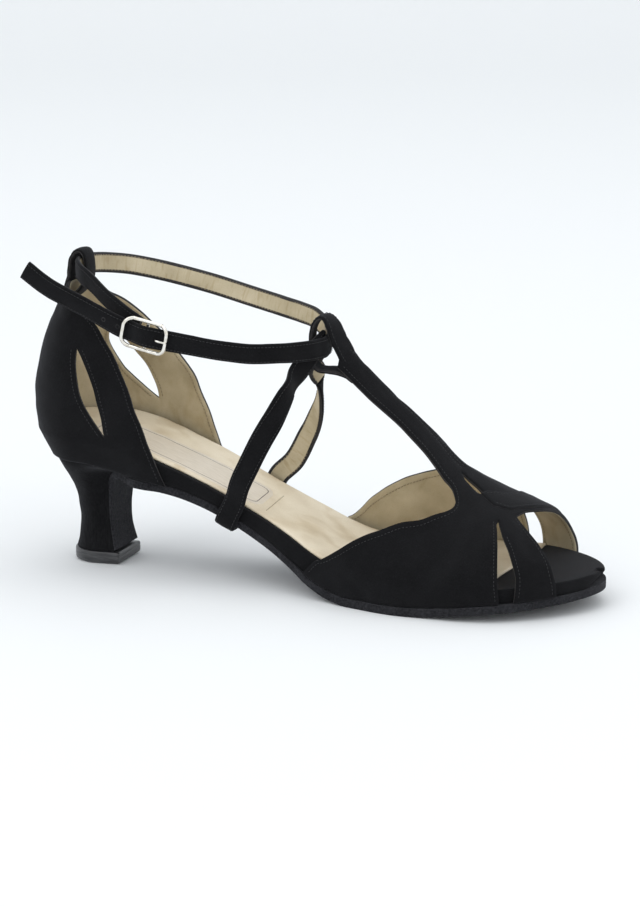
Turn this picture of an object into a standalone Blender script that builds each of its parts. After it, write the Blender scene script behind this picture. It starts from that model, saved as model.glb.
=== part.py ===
"""Ballroom dance sandal for the right foot: T-bar, crossed toe straps and a flared heel.

Metres, +Z up, toe towards +X, inner side of the foot towards +Y. The origin is the middle of
the top lift, on the floor. Stations along the shoe are measured from the back of the insole.
"""
import math
from collections import namedtuple

import bmesh
import bpy
from mathutils import Vector
from mathutils.geometry import delaunay_2d_cdt

MM = 0.001

# Driving sizes
LENGTH = 242 * MM           # last, back to tip; stations are shares of it
HEEL_START = 5.2 * MM       # station of the back of the insole board
TOE_START = 240.4 * MM      # station of its tip
BALL_WIDTH = 78 * MM        # insole board at the ball
HEEL_RISE = 43 * MM         # underside of the waist above the floor, at the back
BOARD = 11.5 * MM           # covered insole board under the heel
OUTSOLE = 3.2 * MM
SOCK = 1.0 * MM             # sock lining on the board
SOCK_INSET = 1.0 * MM       # rim of the board left bare around the sock
SOCK_LENGTH = 208 * MM      # the sock ends behind the toes
WALL = 1.8 * MM             # suede, reinforcement and lining together
GAP = 0.3 * MM              # between pieces that touch
FIT = 0.6 * MM              # between the upper's wall and the board it is lasted round
HEEL_ROUND = 27 * MM        # station where the round end at the heel begins
TOE_ROUND = 38.5 * MM       # length of the round end at the toe
TOE_EDGE = 0.5 * MM         # outsole past the board at the toe
DRAW = 4.0 * MM             # how much further the board's underside draws in at the back
TUCK = 3.0 * MM             # how far the board's underside draws in at the seat
BOARD_EDGE = 1.1 * MM       # softened rim of the board
WELT = 0.5 * MM             # outsole edge that shows past the upper

# Heel block and top lift
LIFT = 5.0 * MM             # thickness of the top lift
LIFT_EDGE = 0.7 * MM        # lift that shows past the heel block
SEAT_DEPTH = 50 * MM        # from the back of the insole to the breast, at the seat
SEAT_WIDTH = 51.2 * MM      # heel block at the seat
FLAP = 1.4 * MM             # outsole leather down the breast

# Upper
INSTEP = 103 * MM           # height of the T-bar where it meets the ankle strap
COUNTER = 69 * MM           # top of the heel loop above the rim of the board
REAR_RUN = 50 * MM          # length of one unit of the counter's pattern past the round end
OVERLAY = 0.6 * MM          # how far the upper toe strap stands on the lower one

# Straps and loops
ANKLE_WIDTH = 8.4 * MM
ARCH_WIDTH = 9.0 * MM
STRAP = 1.8 * MM
LOOP_WIDTH = 9.4 * MM       # heel loop
BAR_LOOP_WIDTH = 9.8 * MM  # loop on top of the T-bar
LOOP_WALL = 1.5 * MM

# Buckle
BUCKLE_LENGTH = 20 * MM
BUCKLE_WIRE = 1.5 * MM
BUCKLE_ROOM = 0.8 * MM      # between the strap's edge and the frame
BUCKLE_BOW = 2.6 * MM       # how far the frame's ends stand outside its centre bar
PRONG = 0.5 * MM            # radius of the prong's tip
PRONG_REACH = 4.6 * MM      # from the centre bar to the hole it comes through

Section = namedtuple("Section", "station lateral medial rise board")
Level = namedtuple("Level", "level back front belly breast")
Last = namedtuple("Last", "station ridge shift blunt")
Rear = namedtuple("Rear", "height back nose width")
Edge = namedtuple("Edge", "station girth")
Rim = namedtuple("Rim", "around height")
Knot = namedtuple("Knot", "station side height")

# Insole board and sole. station of LENGTH, lateral and medial half widths of BALL_WIDTH,
# rise of the outsole's underside of HEEL_RISE, board thickness of BOARD.
SOLE = [
    Section(0.000, 0.340, 0.340, 1.000, 1.00),
    Section(0.120, 0.340, 0.340, 0.977, 1.00),
    Section(0.180, 0.337, 0.337, 0.921, 1.00),
    Section(0.219, 0.328, 0.331, 0.867, 0.94),
    Section(0.256, 0.318, 0.323, 0.842, 0.74),
    Section(0.290, 0.309, 0.315, 0.805, 0.61),
    Section(0.331, 0.300, 0.305, 0.733, 0.52),
    Section(0.372, 0.297, 0.292, 0.637, 0.50),
    Section(0.413, 0.303, 0.283, 0.521, 0.54),
    Section(0.455, 0.315, 0.285, 0.388, 0.63),
    Section(0.496, 0.340, 0.301, 0.244, 0.75),
    Section(0.537, 0.372, 0.333, 0.107, 0.81),
    Section(0.579, 0.409, 0.369, 0.026, 0.78),
    Section(0.612, 0.440, 0.402, 0.000, 0.74),
    Section(0.705, 0.497, 0.466, 0.000, 0.67),
    Section(0.785, 0.497, 0.490, 0.038, 0.57),
    Section(0.847, 0.469, 0.477, 0.076, 0.48),
    Section(0.909, 0.415, 0.433, 0.102, 0.45),
    Section(0.959, 0.365, 0.385, 0.128, 0.42),
    Section(1.000, 0.308, 0.333, 0.155, 0.38),
]

# Heel block from the lift, 0, to the seat, 1. back and front of SEAT_DEPTH, half widths of
# SEAT_WIDTH at the belly and at the breast.
HEEL = [
    Level(0.00, 0.334, 0.736, 0.219, 0.201),
    Level(0.10, 0.358, 0.718, 0.211, 0.188),
    Level(0.22, 0.370, 0.700, 0.207, 0.178),
    Level(0.33, 0.376, 0.692, 0.213, 0.180),
    Level(0.44, 0.368, 0.690, 0.226, 0.187),
    Level(0.54, 0.362, 0.694, 0.248, 0.199),
    Level(0.65, 0.343, 0.700, 0.285, 0.211),
    Level(0.78, 0.304, 0.712, 0.350, 0.232),
    Level(0.87, 0.270, 0.744, 0.415, 0.252),
    Level(0.94, 0.236, 0.820, 0.460, 0.312),
    Level(1.00, 0.196, 1.000, 0.488, 0.460),
]
HEEL_NOSE = 0.56            # share of the heel's depth that is its round back
HEEL_LEVELS = (0, 0.1, 0.22, 0.33, 0.44, 0.54, 0.65, 0.78, 0.87, 0.905, 0.94, 0.965, 0.985, 1)
SOLE_FOOT = 0.015           # level at which the outsole's flap begins

# Last under the front of the upper. ridge height of INSTEP, shift of the ridge to the inner
# side of BALL_WIDTH, blunt is the exponent of the arch from rim to ridge.
LAST = [
    Last(0.500, 1.060, 0.050, 1.30),
    Last(0.521, 0.990, 0.050, 1.30),
    Last(0.562, 0.900, 0.050, 1.35),
    Last(0.628, 0.756, 0.055, 1.40),
    Last(0.694, 0.626, 0.055, 1.40),
    Last(0.748, 0.507, 0.050, 1.40),
    Last(0.773, 0.470, 0.050, 1.50),
    Last(0.793, 0.445, 0.045, 1.60),
    Last(0.843, 0.393, 0.035, 1.80),
    Last(0.893, 0.342, 0.030, 1.90),
    Last(0.950, 0.255, 0.010, 1.90),
    Last(1.000, 0.170, 0.000, 1.90),
]

# Counter above the rim of the board. height of COUNTER, back and nose length of HEEL_ROUND,
# width as a share of the board's own half width.
REAR = [
    Rear(0.000, 0.089, 0.911, 1.00),
    Rear(0.115, 0.052, 0.941, 1.01),
    Rear(0.215, 0.052, 0.919, 1.00),
    Rear(0.320, 0.089, 0.867, 0.97),
    Rear(0.420, 0.144, 0.793, 0.92),
    Rear(0.515, 0.215, 0.722, 0.86),
    Rear(0.615, 0.300, 0.633, 0.78),
    Rear(0.670, 0.367, 0.563, 0.72),
    Rear(0.740, 0.444, 0.493, 0.61),
    Rear(0.800, 0.522, 0.381, 0.49),
    Rear(0.860, 0.563, 0.330, 0.38),
    Rear(0.930, 0.604, 0.300, 0.30),
    Rear(1.000, 0.648, 0.280, 0.25),
]

# Pattern of the front of the upper. girth is 0 on the ridge, 1 at the rim of the board and
# FOOT at the bottom of the wall; the lateral side is negative.
FOOT = 1.2
BAR_EDGE = [
    Edge(0.545, -0.24), Edge(0.600, -0.235), Edge(0.645, -0.225), Edge(0.680, -0.24),
    Edge(0.715, -0.26), Edge(0.738, -0.29),
]
THROAT = [
    Edge(0.752, -0.31), Edge(0.762, -0.36), Edge(0.765, -0.40), Edge(0.759, -0.44),
    Edge(0.740, -0.50), Edge(0.719, -0.57), Edge(0.690, -0.63), Edge(0.663, -0.69),
    Edge(0.632, -0.75), Edge(0.597, -0.83), Edge(0.554, -0.97), Edge(0.522, -1.20),
]
VAMP_FRONT = [
    Edge(0.864, -1.20), Edge(0.864, -1.10), Edge(0.860, -0.83), Edge(0.853, -0.62),
    Edge(0.845, -0.48), Edge(0.839, -0.40), Edge(0.840, -0.37),
]
LOWER_STRAP_BACK = [
    Edge(0.853, -0.48), Edge(0.870, -0.61), Edge(0.882, -0.76), Edge(0.888, -0.91),
    Edge(0.886, -1.20),
]
LOWER_STRAP_FRONT = [
    Edge(0.944, -1.20), Edge(0.942, -0.96), Edge(0.931, -0.67), Edge(0.912, -0.49),
    Edge(0.886, -0.36), Edge(0.862, -0.26),
]
UPPER_STRAP_FRONT = [
    Edge(0.870, -0.16), Edge(0.885, -0.03), Edge(0.893, 0.10), Edge(0.900, 0.30),
    Edge(0.907, 0.52), Edge(0.914, 0.71), Edge(0.919, 0.90), Edge(0.921, 1.20),
]
UPPER_STRAP_BACK = [
    Edge(0.850, 1.20), Edge(0.850, 0.96), Edge(0.848, 0.78), Edge(0.842, 0.62),
    Edge(0.832, 0.48), Edge(0.820, 0.39), Edge(0.814, 0.37),
]
MEDIAL_FRONT = [
    Edge(0.815, 0.43), Edge(0.821, 0.65), Edge(0.824, 0.86), Edge(0.826, 1.20),
]
MEDIAL_THROAT = [
    Edge(0.514, 1.20), Edge(0.519, 1.01), Edge(0.548, 0.85), Edge(0.576, 0.76),
    Edge(0.610, 0.68), Edge(0.645, 0.61), Edge(0.677, 0.54), Edge(0.706, 0.46),
    Edge(0.726, 0.37), Edge(0.732, 0.28), Edge(0.726, 0.22),
]
MEDIAL_BAR_EDGE = [
    Edge(0.705, 0.19), Edge(0.670, 0.18), Edge(0.600, 0.17), Edge(0.545, 0.17),
]
CROSS_GAP = [
    Edge(0.758, -0.155), Edge(0.775, -0.170), Edge(0.790, -0.180), Edge(0.799, -0.195),
    Edge(0.795, -0.225), Edge(0.778, -0.212), Edge(0.765, -0.190),
]
# The upper toe strap again, as the band that lies on top at the crossing
BAND_BACK = [
    Edge(0.797, -0.23), Edge(0.803, -0.17), Edge(0.818, -0.11), Edge(0.834, -0.03),
    Edge(0.838, 0.10), Edge(0.838, 0.28), Edge(0.842, 0.50),
]
BAND_FRONT = [
    Edge(0.896, 0.50), Edge(0.893, 0.30), Edge(0.888, 0.10), Edge(0.880, -0.03),
    Edge(0.862, -0.17), Edge(0.848, -0.24), Edge(0.822, -0.27),
]

# Pattern of the counter's outer side. around is 0 at the back seam, 1 at the end of the round
# part; height of COUNTER above the rim, and SEAT is the bottom of the wall.
SEAT = -0.166
INNER_FORWARD = 0.14        # the inner side's front edge lies this much further forward below
COUNTER_EDGE = [
    Rim(0.30, 0.845), Rim(0.45, 0.830), Rim(0.65, 0.805), Rim(0.85, 0.772), Rim(1.04, 0.730),
    Rim(1.198, 0.664), Rim(1.294, 0.590), Rim(1.384, 0.517), Rim(1.464, 0.432),
    Rim(1.518, 0.362), Rim(1.560, 0.274), Rim(1.614, 0.188), Rim(1.654, 0.103),
    Rim(1.714, 0.000), Rim(1.800, SEAT),
]
# Slots: down along the rear edge to the lower tip, then back up along the front edge
OUTER_SLOT = [
    Rim(1.062, 0.515), Rim(1.062, 0.440), Rim(1.069, 0.370), Rim(1.088, 0.279), Rim(1.131, 0.190),
    Rim(1.196, 0.114), Rim(1.292, 0.030), Rim(1.272, 0.128), Rim(1.251, 0.210), Rim(1.222, 0.300),
    Rim(1.169, 0.393), Rim(1.112, 0.465),
]
INNER_SLOT = [
    Rim(0.862, 0.505), Rim(0.840, 0.430), Rim(0.880, 0.360), Rim(0.960, 0.285), Rim(1.057, 0.216),
    Rim(1.160, 0.160), Rim(1.294, 0.110), Rim(1.285, 0.170), Rim(1.262, 0.230), Rim(1.215, 0.300),
    Rim(1.138, 0.364), Rim(1.050, 0.440), Rim(0.960, 0.500),
]

# Straps: station of LENGTH, side of BALL_WIDTH, height of INSTEP, along each strap's middle
ANKLE = [
    Knot(0.036, -0.372, 1.201), Knot(0.066, -0.372, 1.153), Knot(0.095, -0.376, 1.118),
    Knot(0.150, -0.390, 1.066), Knot(0.200, -0.404, 1.016), Knot(0.228, -0.408, 0.994),
    Knot(0.256, -0.432, 0.980), Knot(0.284, -0.406, 0.966), Knot(0.330, -0.398, 0.953),
    Knot(0.380, -0.385, 0.938), Knot(0.425, -0.345, 0.926), Knot(0.462, -0.290, 0.926),
    Knot(0.494, -0.200, 0.924), Knot(0.517, -0.090, 0.924), Knot(0.522, 0.015, 0.930),
    Knot(0.509, 0.110, 0.966), Knot(0.480, 0.185, 1.002), Knot(0.450, 0.235, 1.015),
    Knot(0.414, 0.285, 1.026), Knot(0.342, 0.346, 1.054), Knot(0.275, 0.372, 1.087),
    Knot(0.211, 0.368, 1.118), Knot(0.165, 0.345, 1.140), Knot(0.129, 0.290, 1.159),
    Knot(0.101, 0.200, 1.173), Knot(0.088, 0.100, 1.182), Knot(0.084, 0.000, 1.185),
    Knot(0.089, -0.090, 1.181), Knot(0.105, -0.160, 1.170), Knot(0.126, -0.210, 1.152),
    Knot(0.154, -0.262, 1.118), Knot(0.190, -0.314, 1.070), Knot(0.218, -0.348, 1.032),
    Knot(0.238, -0.362, 1.006),
]
ARCH_SIDES = {
    -1: [Knot(0.5045, -0.090, 0.900), Knot(0.485, -0.172, 0.822), Knot(0.481, -0.245, 0.768),
         Knot(0.467, -0.302, 0.685), Knot(0.446, -0.328, 0.592), Knot(0.427, -0.338, 0.502),
         Knot(0.410, -0.342, 0.417)],
    1: [Knot(0.481, 0.150, 0.838), Knot(0.485, 0.205, 0.755), Knot(0.476, 0.266, 0.650),
        Knot(0.460, 0.310, 0.560), Knot(0.444, 0.336, 0.490), Knot(0.422, 0.346, 0.400)],
}
ARCH_TOP = [Knot(0.5030, 0.080, 0.919), Knot(0.5115, 0.000, 0.939)]
# Rows of ANKLE at the buckle and in the two loops
ANKLE_ROWS = {"buckle": 6, "front": 14, "back": 26}
ANKLE_CENTRE = 0.29         # middle of the ring the strap makes, of LENGTH
ANKLE_LEAN = 0.24           # outward lean of the strap's upper edge between its holds
ARCH_STATION = 0.381        # where the strap passes under the waist, of LENGTH
ARCH_CORNER = 2.6 * MM      # radius of its turns round the edge of the sole
ARCH_ROOM = 0.5 * MM        # between the strap and the side of the sole

# Loop on the T-bar: mm ahead of and above the middle of the ankle strap, and the turn and tilt of
# the band's width in degrees, so that its outer side faces a little outwards
Fold = namedtuple("Fold", "ahead above turn tilt")
BAR_LOOP = [
    Fold(11.4, -9.2, -12, 18), Fold(9.0, -6.4, -16, 16), Fold(6.6, -2.4, -20, 10),
    Fold(4.4, 1.9, -20, 6), Fold(3.0, 4.9, -18, 2), Fold(1.9, 7.8, -14, 0), Fold(0.2, 10.1, -8, 0),
    Fold(-2.2, 11.1, 0, 0), Fold(-4.8, 9.0, 6, 0), Fold(-6.2, 5.0, 8, 0), Fold(-6.6, 0.0, 8, 0),
    Fold(-6.6, -5.8, 8, 0), Fold(-3.6, -9.7, 4, 0), Fold(1.2, -10.3, -6, 2), Fold(5.6, -10.6, -12, 6),
    Fold(9.0, -11.2, -12, 10), Fold(11.6, -12.8, -12, 10),
]
# Heel loop: behind and above the middle of the ankle strap at the back
HEEL_LOOP = [(-7.4, -13.0), (-5.9, -9.2), (-4.7, -5.0), (-4.0, -1.0), (-3.3, 3.0), (-1.9, 5.4),
             (0.8, 6.1), (2.5, 4.4), (3.1, 0.4), (2.8, -5.0), (0.2, -9.6), (-3.6, -13.0), (-5.8, -15.6)]

# Resolution of the solids
ARC_STEPS = 6
STRAIGHT_STEPS = 22
PATTERN_STEP = 5.0 * MM
STRAP_STEP = 3.6 * MM
LOOP_STEP = 3.0 * MM

SUEDE = ("black_suede", (0.012, 0.012, 0.014), 0.95, 0.0)
SOLE_SUEDE = ("sole_suede", (0.045, 0.045, 0.05), 1.0, 0.0)
LINING = ("cream_leather", (0.72, 0.66, 0.54), 0.55, 0.0)
LIFT_PLASTIC = ("lift_plastic", (0.03, 0.03, 0.033), 0.45, 0.0)
NICKEL = ("nickel", (0.78, 0.78, 0.76), 0.25, 1.0)

for old in list(bpy.data.objects):
    bpy.data.objects.remove(old, do_unlink=True)

shoe = bpy.data.collections.new("ballroom_sandal")
tools = bpy.data.collections.new("joined_pieces")
bpy.context.scene.collection.children.link(shoe)
bpy.context.scene.collection.children.link(tools)


def material(finish):
    name, colour, roughness, metallic = finish
    if name in bpy.data.materials:
        return bpy.data.materials[name]
    made = bpy.data.materials.new(name)
    made.use_nodes = True
    shader = made.node_tree.nodes["Principled BSDF"]
    shader.inputs["Base Color"].default_value = (*colour, 1.0)
    shader.inputs["Roughness"].default_value = roughness
    shader.inputs["Metallic"].default_value = metallic
    return made


def smooth(keys, values):
    """Monotone cubic through a table's column, held level past its ends."""
    steps = [b - a for a, b in zip(keys, keys[1:])]
    slopes = [(b - a) / step for a, b, step in zip(values, values[1:], steps)]
    lean = [slopes[0]]
    for before, after in zip(slopes, slopes[1:]):
        lean.append(0.0 if before * after <= 0 else 2 * before * after / (before + after))
    lean.append(slopes[-1])

    def value(key):
        key = min(max(key, keys[0]), keys[-1])
        row = max(i for i in range(len(steps)) if keys[i] <= key)
        step = steps[row]
        t = (key - keys[row]) / step
        start = (2 * t**3 - 3 * t**2 + 1) * values[row] + (t**3 - 2 * t**2 + t) * step * lean[row]
        end = (3 * t**2 - 2 * t**3) * values[row + 1] + (t**3 - t**2) * step * lean[row + 1]
        return start + end

    return value


def column(table, key, name, key_size, size):
    return smooth([getattr(row, key) * key_size for row in table],
                  [getattr(row, name) * size for row in table])


lateral = column(SOLE, "station", "lateral", LENGTH, BALL_WIDTH)
medial = column(SOLE, "station", "medial", LENGTH, BALL_WIDTH)
underside = column(SOLE, "station", "rise", LENGTH, HEEL_RISE)
board = column(SOLE, "station", "board", LENGTH, BOARD)
ridge = column(LAST, "station", "ridge", LENGTH, INSTEP)
shift = column(LAST, "station", "shift", LENGTH, BALL_WIDTH)
blunt = column(LAST, "station", "blunt", LENGTH, 1.0)
rear_back = column(REAR, "height", "back", COUNTER, HEEL_ROUND)
rear_nose = column(REAR, "height", "nose", COUNTER, HEEL_ROUND)
rear_width = column(REAR, "height", "width", COUNTER, 1.0)
heel_back = column(HEEL, "level", "back", 1.0, SEAT_DEPTH)
heel_front = column(HEEL, "level", "front", 1.0, SEAT_DEPTH)
heel_belly = column(HEEL, "level", "belly", 1.0, SEAT_WIDTH)
heel_breast = column(HEEL, "level", "breast", 1.0, SEAT_WIDTH)

LIFT_BACK = heel_back(0) - LIFT_EDGE
LIFT_FRONT = heel_front(0) + FLAP + GAP + LIFT_EDGE
ORIGIN = (LIFT_BACK + LIFT_FRONT) / 2     # middle of the top lift, the part's own origin


def place(station, side, height):
    return Vector((station - ORIGIN, side, height))


def board_bottom(station):
    return underside(station) + OUTSOLE + GAP


def board_top(station):
    return board_bottom(station) + board(station)


def half_width(station, side, grow=0.0, draw=0.0):
    """Half width of the board's outline, grown outwards all round and drawn in at the back."""
    width = (lateral if side < 0 else medial)(station) + grow
    heel = HEEL_ROUND - HEEL_START + grow - draw
    toe = TOE_ROUND + grow
    if station < HEEL_ROUND:
        width *= math.sqrt(max(0.0, 1 - ((HEEL_ROUND - station) / heel) ** 2))
    if station > TOE_START - TOE_ROUND:
        width *= math.sqrt(max(0.0, 1 - ((station - TOE_START + TOE_ROUND) / toe) ** 2))
    return width


def front_surface(station, girth):
    """Outer face of the upper over the instep and toes."""
    side = -1 if girth < 0 else 1
    reach = side * half_width(station, side, FIT + WALL)
    rim = board_top(station)
    if abs(girth) > 1:
        down = (abs(girth) - 1) / (FOOT - 1)
        return place(station, reach, rim - down * board(station))
    power = 2 / blunt(station)
    turn = abs(girth) * math.pi / 2
    middle = shift(station)
    across = middle + (reach - middle) * math.sin(turn) ** power
    up = rim + (ridge(station) - rim) * max(0.0, math.cos(turn)) ** power
    return place(station, across, up)


def rear_surface(around, height):
    """Outer face of the counter; height above the rim of COUNTER, SEAT is the foot of the wall."""
    side = -1 if around < 0 else 1
    lift = max(height, 0.0) * COUNTER
    nose = rear_nose(lift)
    turn = min(abs(around), 1.0) * math.pi / 2
    station = rear_back(lift) + nose * (1 - math.cos(turn)) + max(0.0, abs(around) - 1) * REAR_RUN
    width = (lateral if side < 0 else medial)(station) + FIT + WALL
    reach = width * rear_width(lift) * math.sin(turn)
    if height < 0:
        drop = board(station) * height / SEAT
        below = max(0.0, drop - BOARD_EDGE) / (board(station) - BOARD_EDGE)
        tuck = TUCK * seat_share(station)
        lift = -drop
        reach -= tuck * below * math.sin(turn)
        station += (tuck + DRAW) * below * math.cos(turn)
    return place(station, side * reach, board_top(station) + lift)


def seat_share(station):
    """1 over the heel seat and 0 along the waist, where the board's side stands upright."""
    return min(1.0, max(0.0, 1 - (station - SEAT_DEPTH) / (HEEL_ROUND * 0.5)))


def new_object(name, mesh, finish, where=shoe):
    made = bpy.data.objects.new(name, mesh)
    mesh.materials.append(material(finish))
    where.objects.link(made)
    if where is tools:
        made.hide_render = True
        made.display_type = "WIRE"
    return made


def finish_mesh(name, work, finish, where=shoe, sharp=35):
    bmesh.ops.recalc_face_normals(work, faces=work.faces)
    mesh = bpy.data.meshes.new(name)
    work.to_mesh(mesh)
    work.free()
    mesh.shade_smooth()
    mesh.set_sharp_from_angle(angle=math.radians(sharp))
    return new_object(name, mesh, finish, where)


def loft(name, rings, finish, where=shoe):
    """Skin closed rings of equal count and close both ends."""
    work = bmesh.new()
    rows = [[work.verts.new(point) for point in ring] for ring in rings]
    count = len(rows[0])
    for row, following in zip(rows, rows[1:]):
        for i in range(count):
            j = (i + 1) % count
            work.faces.new((row[i], row[j], following[j], following[i]))
    work.faces.new(rows[0])
    work.faces.new(rows[-1])
    return finish_mesh(name, work, finish, where)


def slab_stations(end, grow, draw):
    """Stations along the board's outline, close together round its ends."""
    heel = HEEL_ROUND - HEEL_START + grow - draw
    toe = TOE_ROUND + grow
    turns = [math.radians(6 + 84 * i / ARC_STEPS) for i in range(ARC_STEPS)]
    first = [HEEL_ROUND - heel * math.cos(turn) for turn in turns]
    front = TOE_START - TOE_ROUND
    last = [] if end else [front + toe * math.cos(turn) for turn in reversed(turns)]
    high = end or front
    middle = [HEEL_ROUND + (high - HEEL_ROUND) * i / STRAIGHT_STEPS for i in range(STRAIGHT_STEPS + 1)]
    return first + middle + last


def slab(name, layers, finish, end=None):
    """A board in layers; each has its growth, its height at a station and its draw at the back."""
    columns = [slab_stations(end, grow(HEEL_ROUND * 0.5), draw) for grow, height, draw in layers]
    rings = []
    for stations in zip(*columns):
        ring = []
        for side, order in ((-1, 1), (1, -1)):
            for (grow, height, draw), station in list(zip(layers, stations))[::order]:
                reach = half_width(station, side, grow(station), draw)
                ring.append(place(station, side * reach, height(station)))
        rings.append(ring)
    return loft(name, rings, finish)


def bake(thing):
    """Replace an object's mesh by its evaluated mesh, so that others can be joined to it."""
    seen = thing.evaluated_get(bpy.context.evaluated_depsgraph_get())
    mesh = bpy.data.meshes.new_from_object(seen)
    thing.modifiers.clear()
    thing.data = mesh
    return thing


def thicken(thing, thickness, offset):
    shell = thing.modifiers.new("wall", "SOLIDIFY")
    shell.thickness = thickness
    shell.offset = offset
    shell.use_even_offset = True
    return thing


def join(thing, *others):
    for other in others:
        union = thing.modifiers.new("join", "BOOLEAN")
        union.operation = "UNION"
        union.solver = "EXACT"
        union.object = other
    return thing


def ribbon(name, spine, width, thickness, up, finish, closed=False, where=shoe):
    """A flat strap along a spine, its width towards the up vector at each point."""
    work = bmesh.new()
    rows = []
    count = len(spine)
    for i, point in enumerate(spine):
        before = spine[i - 1] if closed or i else point
        after = spine[(i + 1) % count] if closed or i < count - 1 else point
        along = (after - before).normalized()
        reference = up[i] if isinstance(up, list) else up
        across = (reference - reference.dot(along) * along).normalized()
        rows.append([work.verts.new(point + across * width * share) for share in (-0.5, 0.0, 0.5)])
    if closed:
        rows.append(rows[0])
    for row, following in zip(rows, rows[1:]):
        for i in range(2):
            work.faces.new((row[i], row[i + 1], following[i + 1], following[i]))
    bmesh.ops.recalc_face_normals(work, faces=work.faces)
    mesh = bpy.data.meshes.new(name)
    work.to_mesh(mesh)
    work.free()
    mesh.shade_smooth()
    return thicken(new_object(name, mesh, finish, where), thickness, 0.0)


def curve_through(points, step, closed=False):
    """Evenly spaced points on a smooth curve through the given ones."""
    count = len(points)
    spans = count if closed else count - 1
    fine = []
    for i in range(spans):
        p1 = points[i]
        p2 = points[(i + 1) % count]
        p0 = points[i - 1] if closed or i else p1 * 2 - p2
        p3 = points[(i + 2) % count] if closed or i + 2 < count else p2 * 2 - p1
        for k in range(16):
            t = k / 16
            fine.append(0.5 * (2 * p1 + (p2 - p0) * t + (2 * p0 - 5 * p1 + 4 * p2 - p3) * t * t
                               + (3 * p1 - p0 - 3 * p2 + p3) * t * t * t))
    fine.append(points[0] if closed else points[-1])
    lengths = [0.0]
    for a, b in zip(fine, fine[1:]):
        lengths.append(lengths[-1] + (b - a).length)
    pieces = max(2, round(lengths[-1] / step))
    result = []
    row = 0
    for k in range(pieces if closed else pieces + 1):
        target = lengths[-1] * k / pieces
        while row < len(fine) - 2 and lengths[row + 1] < target:
            row += 1
        span = lengths[row + 1] - lengths[row]
        result.append(fine[row].lerp(fine[row + 1], (target - lengths[row]) / span if span else 0))
    return result


def pattern_loop(points, scale, step):
    """Points of one closed outline in the flat pattern, no further apart than a step."""
    flat = [Vector((a * scale[0], b * scale[1])) for a, b in points]
    result = []
    for a, b in zip(flat, flat[1:] + flat[:1]):
        pieces = max(1, math.ceil((b - a).length / step))
        result += [a.lerp(b, k / pieces) for k in range(pieces)]
    return result


def inside(point, loop):
    hit = False
    for a, b in zip(loop, loop[1:] + loop[:1]):
        if (a.y > point.y) != (b.y > point.y):
            if point.x < a.x + (point.y - a.y) * (b.x - a.x) / (b.y - a.y):
                hit = not hit
    return hit


def clearance(point, loop):
    best = 1.0
    for a, b in zip(loop, loop[1:] + loop[:1]):
        edge = b - a
        t = min(1.0, max(0.0, (point - a).dot(edge) / edge.length_squared))
        best = min(best, (point - a - edge * t).length)
    return best


def patch(name, outlines, scale, surface, finish, thickness, offset=-1.0, where=shoe, grow=0.0):
    """Cut a flat pattern with holes, mesh it, bend it on a surface and give it its wall."""
    loops = [pattern_loop(points, scale, PATTERN_STEP * 0.9) for points in outlines]
    verts = [point for loop in loops for point in loop]
    edges = []
    faces = []
    start = 0
    for loop in loops:
        ids = list(range(start, start + len(loop)))
        edges += list(zip(ids, ids[1:] + ids[:1]))
        faces.append(ids)
        start += len(loop)
    outer = loops[0]
    low = Vector((min(p.x for p in outer), min(p.y for p in outer)))
    high = Vector((max(p.x for p in outer), max(p.y for p in outer)))
    rows = int((high.y - low.y) / (PATTERN_STEP * 0.87)) + 1
    columns = int((high.x - low.x) / PATTERN_STEP) + 2
    for r in range(rows):
        for c in range(columns):
            point = low + Vector(((c + 0.5 * (r % 2)) * PATTERN_STEP, (r + 0.5) * PATTERN_STEP * 0.87))
            if inside(point, outer) and not any(inside(point, hole) for hole in loops[1:]):
                if min(clearance(point, loop) for loop in loops) > 0.45 * PATTERN_STEP:
                    verts.append(point)
    found = delaunay_2d_cdt(verts, edges, faces, 2, 1e-7)
    work = bmesh.new()
    made = [work.verts.new(surface(p.x / scale[0], p.y / scale[1])) for p in found[0]]
    for face in found[2]:
        middle = sum((found[0][i] for i in face), Vector((0, 0))) / len(face)
        if inside(middle, outer) and not any(inside(middle, hole) for hole in loops[1:]):
            work.faces.new([made[i] for i in face])
    bmesh.ops.delete(work, geom=[v for v in work.verts if not v.link_faces], context="VERTS")
    bmesh.ops.recalc_face_normals(work, faces=work.faces)
    work.normal_update()
    centre = sum((v.co for v in work.verts), Vector()) / len(work.verts)
    outward = sum((f.normal.dot(f.calc_center_median() - centre) * f.calc_area() for f in work.faces))
    if outward < 0:
        bmesh.ops.reverse_faces(work, faces=work.faces)
        work.normal_update()
    if grow:
        for vert in work.verts:
            vert.co += vert.normal * grow
    mesh = bpy.data.meshes.new(name)
    work.to_mesh(mesh)
    work.free()
    mesh.shade_smooth()
    return thicken(new_object(name, mesh, finish, where), thickness, offset)


def level(size):
    return lambda station: size


def insole():
    """Covered board with a softened rim; its underside draws in over the heel seat."""
    rim = BOARD_EDGE
    layers = [
        (lambda station: -TUCK * seat_share(station), board_bottom, DRAW + FIT),
        (level(0.0), lambda station: board_top(station) - rim, 0.0),
        (level(-rim), board_top, 0.0),
    ]
    return slab("insole_board", layers, SUEDE)


def sock():
    """Leather sock on the board, ending behind the toes."""
    layers = [
        (level(-BOARD_EDGE - SOCK_INSET), lambda station: board_top(station) + GAP, 0.0),
        (level(-BOARD_EDGE - SOCK_INSET), lambda station: board_top(station) + GAP + SOCK, 0.0),
    ]
    return slab("sock_lining", layers, LINING, end=SOCK_LENGTH)


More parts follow.
